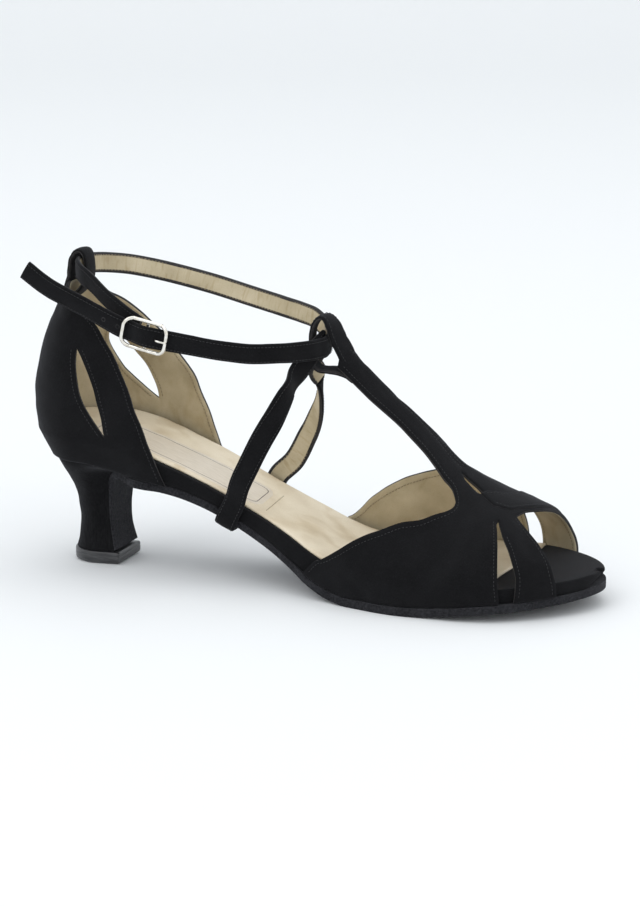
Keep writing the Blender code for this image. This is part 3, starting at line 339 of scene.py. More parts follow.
lateral = column(SOLE, "station", "lateral", LENGTH, BALL_WIDTH)
medial = column(SOLE, "station", "medial", LENGTH, BALL_WIDTH)
underside = column(SOLE, "station", "rise", LENGTH, HEEL_RISE)
board = column(SOLE, "station", "board", LENGTH, BOARD)
ridge = column(LAST, "station", "ridge", LENGTH, INSTEP)
shift = column(LAST, "station", "shift", LENGTH, BALL_WIDTH)
blunt = column(LAST, "station", "blunt", LENGTH, 1.0)
rear_back = column(REAR, "height", "back", COUNTER, HEEL_ROUND)
rear_nose = column(REAR, "height", "nose", COUNTER, HEEL_ROUND)
rear_width = column(REAR, "height", "width", COUNTER, 1.0)
heel_back = column(HEEL, "level", "back", 1.0, SEAT_DEPTH)
heel_front = column(HEEL, "level", "front", 1.0, SEAT_DEPTH)
heel_belly = column(HEEL, "level", "belly", 1.0, SEAT_WIDTH)
heel_breast = column(HEEL, "level", "breast", 1.0, SEAT_WIDTH)

LIFT_BACK = heel_back(0) - LIFT_EDGE
LIFT_FRONT = heel_front(0) + FLAP + GAP + LIFT_EDGE
ORIGIN = (LIFT_BACK + LIFT_FRONT) / 2     # middle of the top lift, the part's own origin


def place(station, side, height):
    return Vector((station - ORIGIN, side, height))


def board_bottom(station):
    return underside(station) + OUTSOLE + GAP


def board_top(station):
    return board_bottom(station) + board(station)


def half_width(station, side, grow=0.0, draw=0.0):
    """Half width of the board's outline, grown outwards all round and drawn in at the back."""
    width = (lateral if side < 0 else medial)(station) + grow
    heel = HEEL_ROUND - HEEL_START + grow - draw
    toe = TOE_ROUND + grow
    if station < HEEL_ROUND:
        width *= math.sqrt(max(0.0, 1 - ((HEEL_ROUND - station) / heel) ** 2))
    if station > TOE_START - TOE_ROUND:
        width *= math.sqrt(max(0.0, 1 - ((station - TOE_START + TOE_ROUND) / toe) ** 2))
    return width


def front_surface(station, girth):
    """Outer face of the upper over the instep and toes."""
    side = -1 if girth < 0 else 1
    reach = side * half_width(station, side, FIT + WALL)
    rim = board_top(station)
    if abs(girth) > 1:
        down = (abs(girth) - 1) / (FOOT - 1)
        return place(station, reach, rim - down * board(station))
    power = 2 / blunt(station)
    turn = abs(girth) * math.pi / 2
    middle = shift(station)
    across = middle + (reach - middle) * math.sin(turn) ** power
    up = rim + (ridge(station) - rim) * max(0.0, math.cos(turn)) ** power
    return place(station, across, up)


def rear_surface(around, height):
    """Outer face of the counter; height above the rim of COUNTER, SEAT is the foot of the wall."""
    side = -1 if around < 0 else 1
    lift = max(height, 0.0) * COUNTER
    nose = rear_nose(lift)
    turn = min(abs(around), 1.0) * math.pi / 2
    station = rear_back(lift) + nose * (1 - math.cos(turn)) + max(0.0, abs(around) - 1) * REAR_RUN
    width = (lateral if side < 0 else medial)(station) + FIT + WALL
    reach = width * rear_width(lift) * math.sin(turn)
    if height < 0:
        drop = board(station) * height / SEAT
        below = max(0.0, drop - BOARD_EDGE) / (board(station) - BOARD_EDGE)
        tuck = TUCK * seat_share(station)
        lift = -drop
        reach -= tuck * below * math.sin(turn)
        station += (tuck + DRAW) * below * math.cos(turn)
    return place(station, side * reach, board_top(station) + lift)


def seat_share(station):
    """1 over the heel seat and 0 along the waist, where the board's side stands upright."""
    return min(1.0, max(0.0, 1 - (station - SEAT_DEPTH) / (HEEL_ROUND * 0.5)))


def slab_stations(end, grow, draw):
    """Stations along the board's outline, close together round its ends."""
    heel = HEEL_ROUND - HEEL_START + grow - draw
    toe = TOE_ROUND + grow
    turns = [math.radians(6 + 84 * i / ARC_STEPS) for i in range(ARC_STEPS)]
    first = [HEEL_ROUND - heel * math.cos(turn) for turn in turns]
    front = TOE_START - TOE_ROUND
    last = [] if end else [front + toe * math.cos(turn) for turn in reversed(turns)]
    high = end or front
    middle = [HEEL_ROUND + (high - HEEL_ROUND) * i / STRAIGHT_STEPS for i in range(STRAIGHT_STEPS + 1)]
    return first + middle + last


def curve_through(points, step, closed=False):
    """Evenly spaced points on a smooth curve through the given ones."""
    count = len(points)
    spans = count if closed else count - 1
    fine = []
    for i in range(spans):
        p1 = points[i]
        p2 = points[(i + 1) % count]
        p0 = points[i - 1] if closed or i else p1 * 2 - p2
        p3 = points[(i + 2) % count] if closed or i + 2 < count else p2 * 2 - p1
        for k in range(16):
            t = k / 16
            fine.append(0.5 * (2 * p1 + (p2 - p0) * t + (2 * p0 - 5 * p1 + 4 * p2 - p3) * t * t
                               + (3 * p1 - p0 - 3 * p2 + p3) * t * t * t))
    fine.append(points[0] if closed else points[-1])
    lengths = [0.0]
    for a, b in zip(fine, fine[1:]):
        lengths.append(lengths[-1] + (b - a).length)
    pieces = max(2, round(lengths[-1] / step))
    result = []
    row = 0
    for k in range(pieces if closed else pieces + 1):
        target = lengths[-1] * k / pieces
        while row < len(fine) - 2 and lengths[row + 1] < target:
            row += 1
        span = lengths[row + 1] - lengths[row]
        result.append(fine[row].lerp(fine[row + 1], (target - lengths[row]) / span if span else 0))
    return result


def knot_point(knot):
    return place(knot.station * LENGTH, knot.side * BALL_WIDTH, knot.height * INSTEP)


def ankle_point(spot, past=0):
    """Middle of the ankle strap at one of its holds, or a few rows past it."""
    return knot_point(ANKLE[ANKLE_ROWS[spot] + past])


def bar_loop_path(step):
    """Spine of the loop that the T-bar's end makes, and the direction of its width."""
    middle = ankle_point("front")
    along = (ankle_point("front", 1) - ankle_point("front", -1)).normalized()
    ahead = Vector((along.y, -along.x, 0)).normalized()
    knots = [middle + ahead * fold.ahead * MM + Vector((0, 0, fold.above * MM)) for fold in BAR_LOOP]
    spine = curve_through(knots, step)
    travelled = [0.0]
    for a, b in zip(knots, knots[1:]):
        travelled.append(travelled[-1] + (b - a).length)
    turn_at = smooth(travelled, [fold.turn for fold in BAR_LOOP])
    tilt_at = smooth(travelled, [fold.tilt for fold in BAR_LOOP])
    across = []
    for i in range(len(spine)):
        along_loop = travelled[-1] * i / (len(spine) - 1)
        turn = math.radians(turn_at(along_loop))
        tilt = math.radians(tilt_at(along_loop))
        across.append(Vector((-math.sin(turn), math.cos(turn), math.tan(tilt))).normalized())
    return spine, across


def mirrored(points):
    """The same outline on the outer side of the foot, in the same sense of travel."""
    return [Rim(-point.around, point.height) for point in reversed(points)]


def inner_edge():
    """Front edge of the counter on the inner side, further forward than the outer one below."""
    moved = []
    for point in COUNTER_EDGE:
        low = min(1.0, max(0.0, (0.66 - point.height) / 0.3))
        moved.append(Rim(point.around + INNER_FORWARD * low, point.height))
    return moved


# Fine resolution of the visible surfaces
PATTERN_STEP = 1.1 * MM
EDGE_STEP = 0.9 * MM
STRAP_STEP = 1.1 * MM
ARC_STEPS = 22
SIDE_STEPS = 8
STRAIGHT_STEPS = 120
SOLE_STEPS = 190

# Seams
SEAM_INSET = 1.35 * MM      # stitch row inside a cut edge
BAR_SEAM = -0.015           # groove between the two strips of the T-bar, as a girth
BAR_SEAM_INSET = 1.3 * MM
STITCH = 0.95 * MM
STITCH_GAP = 0.5 * MM
THREAD = 0.15 * MM          # radius of the thread
SEAM_SINK = 0.16 * MM       # how far a stitch row pulls the suede in
EDGE_ROLL = 0.38 * MM       # how far a cut edge is rolled in, over EDGE_ROW
EDGE_ROW = 0.55 * MM

# Label on the sock: a bare foil panel with a thin printed frame and a stitch line ahead of it
PANEL_BACK = 30 * MM
PANEL_FRONT = 103 * MM
PANEL_LATERAL = -19.5 * MM
PANEL_MEDIAL = 4.0 * MM
PANEL_TURN = math.radians(3)
PANEL_CORNER = 5.0 * MM
PANEL_THICK = 0.06 * MM
FRAME_INSET = 2.0 * MM
FRAME_LINE = 0.28 * MM
PANEL_SEAM = 106 * MM

Crease = namedtuple("Crease", "from_station from_girth to_station to_girth depth width")

# Soft troughs of the front of the upper: stations of LENGTH, depth and width in mm
CREASES = [
    Crease(0.735, -0.52, 0.700, -0.86, 0.35, 5.0),
    Crease(0.790, -0.40, 0.775, -0.80, 0.30, 4.0),
    Crease(0.660, -0.80, 0.690, -1.10, 0.30, 5.0),
    Crease(0.600, -0.98, 0.640, -1.15, 0.25, 3.5),
    Crease(0.842, -0.42, 0.850, -0.75, 0.25, 2.5),
    Crease(0.760, 0.42, 0.735, 0.80, 0.35, 5.0),
    Crease(0.700, 0.62, 0.690, 1.05, 0.30, 5.0),
    Crease(0.870, -0.30, 0.905, -0.62, 0.30, 2.8),
    Crease(0.868, 0.30, 0.880, 0.85, 0.30, 3.2),
    Crease(0.620, -0.10, 0.640, 0.08, 0.30, 2.2),
    Crease(0.585, -0.12, 0.575, 0.10, 0.25, 1.8),
    Crease(0.700, -0.16, 0.712, 0.06, 0.25, 2.4),
]
# Troughs of the counter: around the back and share of COUNTER
REAR_CREASES = [
    Crease(-0.55, 0.70, -0.90, 0.62, 0.30, 3.5),
    Crease(-1.35, 0.30, -1.20, 0.05, 0.30, 4.0),
    Crease(0.45, 0.30, 0.75, 0.05, 0.30, 6.0),
    Crease(-0.10, 0.46, 0.12, 0.44, 0.25, 4.0),
    Crease(1.30, 0.35, 1.20, 0.02, 0.35, 4.0),
]

RENDER_WIDTH = 640
RENDER_HEIGHT = 907


def shader_of(made):
    return made.node_tree.nodes["Principled BSDF"]


def new_material(name, colour, roughness, metallic=0.0):
    made = bpy.data.materials.new(name)
    made.use_nodes = True
    shader = shader_of(made)
    shader.inputs["Base Color"].default_value = (*colour, 1.0)
    shader.inputs["Roughness"].default_value = roughness
    shader.inputs["Metallic"].default_value = metallic
    return made


def add_node(made, kind, **inputs):
    node = made.node_tree.nodes.new(kind)
    for name, value in inputs.items():
        node.inputs[name.replace("_", " ")].default_value = value
    return node


def noise_of(made, scale, detail=3.0, stretch=(1, 1, 1), attribute=None, distortion=0.0):
    """Noise whose scale counts bumps a metre, in the piece's own space or along a laid pattern."""
    links = made.node_tree.links
    if attribute:
        source = made.node_tree.nodes.new("ShaderNodeAttribute")
        source.attribute_name = attribute
        vector = source.outputs["Vector"]
    else:
        source = made.node_tree.nodes.new("ShaderNodeTexCoord")
        vector = source.outputs["Object"]
    mapping = made.node_tree.nodes.new("ShaderNodeMapping")
    mapping.inputs["Scale"].default_value = stretch
    noise_node = add_node(made, "ShaderNodeTexNoise", Scale=scale, Detail=detail, Distortion=distortion)
    links.new(vector, mapping.inputs["Vector"])
    links.new(mapping.outputs["Vector"], noise_node.inputs["Vector"])
    return noise_node.outputs["Fac"]


def cells_of(made, scale):
    source = made.node_tree.nodes.new("ShaderNodeTexCoord")
    cells = add_node(made, "ShaderNodeTexVoronoi", Scale=scale)
    made.node_tree.links.new(source.outputs["Object"], cells.inputs["Vector"])
    return cells.outputs["Distance"]


def ramp(made, value, stops):
    """Colours over a value; each stop is its place and its colour."""
    node = made.node_tree.nodes.new("ShaderNodeValToRGB")
    band = node.color_ramp
    band.elements[0].position = stops[0][0]
    band.elements[0].color = (*stops[0][1], 1.0)
    band.elements[1].position = stops[-1][0]
    band.elements[1].color = (*stops[-1][1], 1.0)
    for place_on, colour in stops[1:-1]:
        band.elements.new(place_on).color = (*colour, 1.0)
    made.node_tree.links.new(value, node.inputs["Fac"])
    return node.outputs["Color"]


def blend_colours(made, mode, factor, first, second):
    node = made.node_tree.nodes.new("ShaderNodeMix")
    node.data_type = "RGBA"
    node.blend_type = mode
    links = made.node_tree.links
    if isinstance(factor, float):
        node.inputs[0].default_value = factor
    else:
        links.new(factor, node.inputs[0])
    links.new(first, node.inputs[6])
    links.new(second, node.inputs[7])
    return node.outputs[2]


def bump(made, height, depth, strength=1.0, under=None):
    node = add_node(made, "ShaderNodeBump", Strength=strength, Distance=depth)
    made.node_tree.links.new(height, node.inputs["Height"])
    if under:
        made.node_tree.links.new(under, node.inputs["Normal"])
    return node.outputs["Normal"]


def connect(made, colour=None, normal=None, roughness=None):
    inputs = shader_of(made).inputs
    for value, name in ((colour, "Base Color"), (normal, "Normal"), (roughness, "Roughness")):
        if value is not None:
            made.node_tree.links.new(value, inputs[name])


def suede(name, dark, light, nap=2400, depth=0.16 * MM, stretch=(1, 1, 1)):
    """Napped suede: short fibres, brushed patches and a soft sheen at grazing light."""
    made = new_material(name, dark, 1.0)
    inputs = shader_of(made).inputs
    inputs["Sheen Weight"].default_value = 0.10
    inputs["Sheen Roughness"].default_value = 0.55
    inputs["Sheen Tint"].default_value = (0.55, 0.55, 0.6, 1.0)
    inputs["Specular IOR Level"].default_value = 0.12
    fibres = noise_of(made, nap, 4.0, stretch)
    patches = noise_of(made, 95, 2.0)
    fine = ramp(made, fibres, [(0.32, dark), (0.72, light)])
    middle = tuple((a + b) * 0.5 for a, b in zip(dark, light))
    brushed = ramp(made, patches, [(0.35, dark), (0.68, middle)])
    colour = blend_colours(made, "MIX", 0.45, fine, brushed)
    coarse = bump(made, patches, depth * 1.2, 0.5)
    connect(made, colour, bump(made, fibres, depth, 0.9, coarse))
    return made


def lining_leather(name, shadow, body, glow, wrinkle_stretch, wrinkle_scale, attribute=None, wrinkle=0.12 * MM):
    """Smooth pig or kid lining: pores, fine wrinkles with painted shade in their troughs, and uneven tan."""
    made = new_material(name, body, 0.6)
    shader_of(made).inputs["Specular IOR Level"].default_value = 0.35
    clouds = noise_of(made, 70, 3.0)
    tan = ramp(made, clouds, [(0.28, shadow), (0.5, body), (0.75, glow)])
    wrinkles = noise_of(made, wrinkle_scale, 2.0, wrinkle_stretch, attribute, 0.6)
    pores = cells_of(made, 1500)
    pore_colour = ramp(made, pores, [(0.05, (0.86, 0.82, 0.76)), (0.35, (1.0, 1.0, 1.0))])
    colour = blend_colours(made, "MULTIPLY", 0.8, tan, pore_colour)
    # painted shade: the colour is darkened in the wrinkles' troughs, where the bump sinks
    wrinkle_shade_colour = ramp(made, wrinkles, [(0.30, (0.80, 0.74, 0.64)), (0.48, (1.0, 1.0, 1.0))])
    colour = blend_colours(made, "MULTIPLY", 0.7, colour, wrinkle_shade_colour)
    under = bump(made, wrinkles, wrinkle, 0.9)
    connect(made, colour, bump(made, pores, 0.05 * MM, 0.5, under))
    return made


def cut_edge(name, dark, light):
    made = new_material(name, dark, 0.8)
    fibres = noise_of(made, 1800, 4.0)
    connect(made, ramp(made, fibres, [(0.35, dark), (0.7, light)]), bump(made, fibres, 0.15 * MM, 0.8))
    return made


def thread(name, dark, light):
    made = new_material(name, dark, 0.65)
    shader_of(made).inputs["Specular IOR Level"].default_value = 0.3
    twist = noise_of(made, 3200, 2.0)
    connect(made, ramp(made, twist, [(0.35, dark), (0.65, light)]), bump(made, twist, 0.05 * MM, 0.8))
    return made


def plastic():
    made = new_material("lift_plastic", (0.02, 0.02, 0.022), 0.36)
    shader_of(made).inputs["Coat Weight"].default_value = 0.25
    shader_of(made).inputs["Coat Roughness"].default_value = 0.25
    grain = noise_of(made, 900, 3.0)
    scuffs = noise_of(made, 220, 4.0, (1, 1, 5))
    colour = ramp(made, scuffs, [(0.4, (0.016, 0.016, 0.018)), (0.75, (0.045, 0.045, 0.048))])
    gloss = ramp(made, scuffs, [(0.35, (0.3, 0.3, 0.3)), (0.7, (0.48, 0.48, 0.48))])
    connect(made, colour, bump(made, grain, 0.05 * MM, 0.4), gloss)
    return made


def nickel():
    made = new_material("nickel", (0.80, 0.77, 0.70), 0.16, 1.0)
    worn = noise_of(made, 400, 3.0)
    colour = ramp(made, worn, [(0.35, (0.70, 0.66, 0.58)), (0.65, (0.86, 0.84, 0.79))])
    gloss = ramp(made, worn, [(0.35, (0.12, 0.12, 0.12)), (0.7, (0.26, 0.26, 0.26))])
    connect(made, colour, bump(made, worn, 0.02 * MM, 0.4), gloss)
    return made


def foil():
    made = new_material("label_foil", (0.68, 0.60, 0.49), 0.42)
    brushed = noise_of(made, 240, 3.0, (1, 5, 1))
    colour = ramp(made, brushed, [(0.3, (0.63, 0.55, 0.44)), (0.7, (0.72, 0.64, 0.53))])
    connect(made, colour, bump(made, cells_of(made, 1300), 0.03 * MM, 0.4))
    return made


def ink():
    made = new_material("label_ink", (0.09, 0.06, 0.055), 0.5)
    worn = noise_of(made, 700, 3.0)
    colour = ramp(made, worn, [(0.3, (0.06, 0.04, 0.035)), (0.7, (0.14, 0.10, 0.09))])
    connect(made, colour, bump(made, worn, 0.01 * MM, 0.3))
    return made


SUEDE = suede("black_suede", (0.0022, 0.0022, 0.0026), (0.0105, 0.0105, 0.0115))
HEEL_SUEDE = suede("heel_suede", (0.0022, 0.0022, 0.0026), (0.012, 0.012, 0.013), 1500, 0.22 * MM, (1, 1, 0.28))
SOLE_SUEDE = suede("sole_suede", (0.005, 0.005, 0.006), (0.045, 0.045, 0.050), 1300, 0.45 * MM)
TAN, CREAM, PALE = (0.40, 0.33, 0.21), (0.50, 0.425, 0.285), (0.60, 0.52, 0.37)
LINING = lining_leather("cream_lining", TAN, CREAM, PALE, (1, 1, 0.45), 130)
STRAP_LINING = lining_leather("strap_lining", TAN, CREAM, PALE, (1.0, 0.16, 1.0), 620, "laid", 0.2 * MM)
SOCK_LEATHER = lining_leather("sock_leather", (0.66, 0.56, 0.41), (0.74, 0.645, 0.49), (0.80, 0.71, 0.56), (1, 1, 1), 60,
                              None, 0.1 * MM)
EDGE = cut_edge("cut_edge", (0.008, 0.007, 0.007), (0.035, 0.032, 0.034))
BLACK_THREAD = thread("black_thread", (0.006, 0.006, 0.007), (0.040, 0.040, 0.042))
TAN_THREAD = thread("tan_thread", (0.20, 0.16, 0.10), (0.40, 0.33, 0.22))
LABEL_INK = ink()
PLASTIC = plastic()
NICKEL = nickel()
FOIL = foil()


def made_object(name, work, finishes, sharp=None):
    mesh = bpy.data.meshes.new(name)
    work.to_mesh(mesh)
    work.free()
    for finish in finishes:
        mesh.materials.append(finish)
    mesh.shade_smooth()
    if sharp:
        mesh.set_sharp_from_angle(angle=math.radians(sharp))
    made = bpy.data.objects.new(name, mesh)
    bpy.context.scene.collection.objects.link(made)
    return made


def dress(piece, slot_name, *nodes):
    """Ride on the shoe's one body and stand for the solids named; slot_name is not used."""
    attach(piece, "root")
    if nodes:
        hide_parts(*nodes)
    return piece


def ripple(point, size, height, seed):
    """Uneven surface, the same each run."""
    return noise.noise(point / size + Vector((seed, 0, 0))) * height


def inside_mask(points, loop):
    """Which of many flat points lie in a closed outline."""
    a = np.array([(p.x, p.y) for p in loop])
    b = np.roll(a, -1, axis=0)
    result = []
    for chunk in np.array_split(points, max(1, len(points) // 1500)):
        x = chunk[:, 0:1]
        y = chunk[:, 1:2]
        crosses = (a[:, 1] > y) != (b[:, 1] > y)
        rise = np.where(b[:, 1] == a[:, 1], 1.0, b[:, 1] - a[:, 1])
        at = a[:, 0] + (y - a[:, 1]) * (b[:, 0] - a[:, 0]) / rise
        result.append((crosses & (x < at)).sum(axis=1) % 2 == 1)
    return np.concatenate(result)


def clear_distance(points, chains):
    """Distance of many flat points to the nearest of the chains; each is (points, closed)."""
    a = []
    b = []
    for chain, closed in chains:
        flat = [(p.x, p.y) for p in chain]
        a += flat if closed else flat[:-1]
        b += flat[1:] + (flat[:1] if closed else [])
    a = np.array(a)
    edge = np.array(b) - a
    square = np.maximum((edge ** 2).sum(axis=1), 1e-16)
    result = []
    for chunk in np.array_split(points, max(1, len(points) // 1000)):
        x = chunk[:, 0:1] - a[:, 0]
        y = chunk[:, 1:2] - a[:, 1]
        t = np.clip((x * edge[:, 0] + y * edge[:, 1]) / square, 0.0, 1.0)
        gap = (x - t * edge[:, 0]) ** 2 + (y - t * edge[:, 1]) ** 2
        result.append(np.sqrt(gap.min(axis=1)))
    return np.concatenate(result)


def lay(points, scale):
    return [Vector((a * scale[0], b * scale[1], 0)) for a, b in points]


def outline(runs, scale):
    """One closed outline; each run is a smooth curve and the runs meet at corners."""
    loop = []
    for run, following in zip(runs, runs[1:] + runs[:1]):
        loop += curve_through(lay(run, scale), EDGE_STEP)
        start = loop[-1]
        gap = lay(following[:1], scale)[0] - start
        if gap.length < 0.01 * MM:
            loop.pop()
            continue
        pieces = int(gap.length / EDGE_STEP) + 1
        loop += [start + gap * k / pieces for k in range(1, pieces)]
    return loop


def inset_row(run, scale, distance, turn, loops):
    """Rows beside a run of the outline, cut off where they come too near another edge."""
    points = curve_through(lay(run, scale), EDGE_STEP)
    row = []
    for before, point, after in zip(points, points[1:], points[2:]):
        along = (after - before).normalized()
        row.append(point + Vector((-along.y, along.x, 0)) * distance * turn)
    flat = np.array([(p.x, p.y) for p in row])
    free = clear_distance(flat, [(loop, True) for loop in loops]) > distance * 0.94
    return free_parts(row, free, 4)


def edge_row(loop, loops):
    """Points just inside a cut edge, on whichever side the leather lies."""
    outer = loops[0]
    rows = []
    for turn in (-1, 1):
        row = []
        for before, point, after in zip(loop[-1:] + loop[:-1], loop, loop[1:] + loop[:1]):
            along = (after - before).normalized()
            row.append(point + Vector((-along.y, along.x, 0)) * EDGE_ROW * turn)
        flat = np.array([(p.x, p.y) for p in row])
        free = clear_distance(flat, [(other, True) for other in loops]) > EDGE_ROW * 0.9
        free &= inside_mask(flat, outer)
        for hole in loops[1:]:
            free &= ~inside_mask(flat, hole)
        rows += free_parts(row, free, 2)
    return rows


def free_parts(row, free, least):
    """The stretches of a row that are free, each of more than so many points."""
    parts = [[]]
    for point, good in zip(row, free):
        if good:
            parts[-1].append(point)
        elif parts[-1]:
            parts.append([])
    return [part for part in parts if len(part) > least]


def surface_frame(surface, scale, flat, out):
    """Point and outward normal of a bent surface at a point of its flat pattern."""
    a = flat.x / scale[0]
    b = flat.y / scale[1]
    step = 0.2 * MM
    centre = surface(a, b)
    along = surface(a + step / scale[0], b) - surface(a - step / scale[0], b)
    across = surface(a, b + step / scale[1]) - surface(a, b - step / scale[1])
    normal = along.cross(across)
    if normal.length < 1e-12:
        normal = Vector((0, 0, 1))
    return centre, normal.normalized() * out


def crease_depth(flat, creases, scale):
    """Soft trough with a low ridge on each side of it."""
    total = 0.0
    for crease in creases:
        a = Vector((crease.from_station * scale[0], crease.from_girth * scale[1], 0))
        b = Vector((crease.to_station * scale[0], crease.to_girth * scale[1], 0))
        edge = b - a
        t = min(1.0, max(0.0, (flat - a).dot(edge) / edge.length_squared))
        away = (flat - a - edge * t).length / (crease.width * MM)
        if away < 3:
            total -= crease.depth * MM * (1.0 - 0.7 * away * away) * math.exp(-away * away)
    return total


def cut_piece(name, loops, scale, surface, out, finishes, thickness, lines=(), creases=(), grow=0.0, seed=0.0):
    """Mesh a flat pattern with its holes and seam lines, bend it, wrinkle it and give it a wall."""
    verts = []
    edges = []
    edge_rows = [row for loop in loops for row in edge_row(loop, loops)]
    chains = [(loop, True) for loop in loops] + [(line, False) for line in list(lines) + edge_rows]
    for chain, closed in chains:
        ids = list(range(len(verts), len(verts) + len(chain)))
        verts += [point.to_2d() for point in chain]
        edges += list(zip(ids, ids[1:]))
        if closed:
            edges.append((ids[-1], ids[0]))
    outer = loops[0]
    low = Vector((min(p.x for p in outer), min(p.y for p in outer)))
    high = Vector((max(p.x for p in outer), max(p.y for p in outer)))
    row_step = PATTERN_STEP * 0.87
    grid = []
    for r in range(int((high.y - low.y) / row_step) + 1):
        for c in range(int((high.x - low.x) / PATTERN_STEP) + 2):
            grid.append((low.x + (c + 0.5 * (r % 2)) * PATTERN_STEP, low.y + (r + 0.5) * row_step))
    grid = np.array(grid)
    keep = inside_mask(grid, outer)
    for hole in loops[1:]:
        keep &= ~inside_mask(grid, hole)
    grid = grid[keep]
    grid = grid[clear_distance(grid, chains) > 0.45 * PATTERN_STEP]
    verts += [Vector(point) for point in grid.tolist()]
    found = delaunay_2d_cdt(verts, edges, [], 0, 1e-7)
    points, faces = found[0], found[2]
    middles = np.array([tuple(sum((points[i] for i in face), Vector((0, 0))) / len(face)) for face in faces])
    good = inside_mask(middles, outer)
    for hole in loops[1:]:
        good &= ~inside_mask(middles, hole)
    seams = [(line, False) for line in lines]
    flats = np.array([tuple(p) for p in points])
    near = clear_distance(flats, seams) if seams else np.ones(len(points))
    borders = clear_distance(flats, [(loop, True) for loop in loops])
    work = bmesh.new()
    laid = work.verts.layers.float_vector.new("laid")
    outer_face = []
    inner_face = []
    for point, seam, border in zip(points, near, borders):
        flat = Vector((point.x, point.y, 0))
        centre, normal = surface_frame(surface, scale, flat, out)
        rise = grow + crease_depth(flat, creases, scale)
        rise += ripple(centre, 14 * MM, 0.28 * MM, seed) + ripple(centre, 5 * MM, 0.10 * MM, seed + 7)
        sink = SEAM_SINK * math.exp(-(seam / (0.7 * MM)) ** 2)
        rolled = EDGE_ROLL * max(0.0, 1 - border / EDGE_ROW) ** 2
        for side, height in ((outer_face, rise - sink - rolled),
                             (inner_face, rise - thickness + sink * 0.5 + rolled)):
            vert = work.verts.new(centre + normal * height)
            vert[laid] = flat
            side.append(vert)
    rim = {}
    for face, inside_it in zip(faces, good):
        if not inside_it:
            continue
        order = list(face) if out > 0 else list(reversed(face))
        work.faces.new([outer_face[i] for i in order])
        work.faces.new([inner_face[i] for i in reversed(order)]).material_index = 1
        for a, b in zip(order, order[1:] + order[:1]):
            if (b, a) in rim:
                del rim[(b, a)]
            else:
                rim[(a, b)] = True
    for a, b in rim:
        work.faces.new((outer_face[b], outer_face[a], inner_face[a], inner_face[b])).material_index = 2
    bmesh.ops.delete(work, geom=[v for v in work.verts if not v.link_faces], context="VERTS")
    return made_object(name, work, finishes, 60)


def sew(name, rows, finish, slot_name):
    """Short sunk stitches along rows of points with normals, as one mesh."""
    work = bmesh.new()
    profile = ((0.0, -0.9), (0.22, 0.35), (0.78, 0.35), (1.0, -0.9))
    sides = 5
    for row in rows:
        lengths = [0.0]
        for (a, _), (b, _) in zip(row, row[1:]):
            lengths.append(lengths[-1] + (b - a).length)
        start = STITCH_GAP
        while start + STITCH < lengths[-1]:
            rings = []
            for share, height in profile:
                target = start + STITCH * share
                i = max(k for k in range(len(lengths) - 1) if lengths[k] <= target)
                t = (target - lengths[i]) / max(lengths[i + 1] - lengths[i], 1e-9)
                along = (row[i + 1][0] - row[i][0]).normalized()
                normal = row[i][1].lerp(row[i + 1][1], t).normalized()
                side = along.cross(normal).normalized()
                centre = row[i][0].lerp(row[i + 1][0], t) + normal * height * THREAD
                ring = []
                for k in range(sides):
                    turn = 2 * math.pi * k / sides
                    ring.append(work.verts.new(centre + side * math.cos(turn) * THREAD
                                               + normal * math.sin(turn) * THREAD * 0.8))
                rings.append(ring)
            for ring, following in zip(rings, rings[1:]):
                for k in range(sides):
                    j = (k + 1) % sides
                    work.faces.new((ring[k], ring[j], following[j], following[k]))
            work.faces.new(list(reversed(rings[0])))
            work.faces.new(rings[-1])
            start += STITCH + STITCH_GAP
    bmesh.ops.recalc_face_normals(work, faces=work.faces)
    return dress(made_object(name, work, [finish]), slot_name)


def seam_points(rows, surface, scale, out, lift, inner=0.0):
    """Points and normals along flat rows: on the outside, or on the lining at a depth."""
    result = []
    for row in rows:
        line = []
        for flat in row:
            centre, normal = surface_frame(surface, scale, flat, out)
            height = lift(flat, centre)
            if inner:
                line.append((centre + normal * (height - inner), -normal))
            else:
                line.append((centre + normal * height, normal))
        result.append(line)
    return result


def strap_section(width, thick, crown):
    """Section of a strap, anticlockwise: across, out, and the finish of the side that follows.
    Finishes are 0 suede, 1 lining and 2 the painted edge."""
    edge = thick * 0.5
    flat = width * 0.5 - edge
    section = []
    for k in range(9):
        s = -flat + 2 * flat * k / 8
        section.append((s, edge + crown * (1 - (s / flat) ** 2), 0))
    for k in range(1, 6):
        turn = math.radians(90 - 180 * k / 6)
        section.append((flat + edge * math.cos(turn), edge * math.sin(turn), 0 if k < 3 else 2))
    lip = 0.45 * MM
    section.append((flat, -edge, 2))
    for k in range(7):
        s = flat - lip - 2 * (flat - lip) * k / 6
        section.append((s, -edge - crown * 0.15 * (1 - (s / flat) ** 2), 1 if k < 6 else 2))
    section.append((-flat, -edge, 2))
    for k in range(1, 6):
        turn = math.radians(-90 - 180 * k / 6)
        section.append((-flat + edge * math.cos(turn), edge * math.sin(turn), 2 if k < 3 else 0))
    return section


def strap_frames(spine, up, outward, closed):
    """Point, along, across and out at each point of a strap's spine."""
    frames = []
    count = len(spine)
    for i, point in enumerate(spine):
        before = spine[i - 1] if closed or i else point
        after = spine[(i + 1) % count] if closed or i < count - 1 else point
        along = (after - before).normalized()
        reference = up[i] if isinstance(up, list) else up
        across = (reference - reference.dot(along) * along).normalized()
        out = along.cross(across).normalized()
        if out.dot(outward(point)) < 0:
            out = -out
        frames.append((point, along, across, out))
    return frames


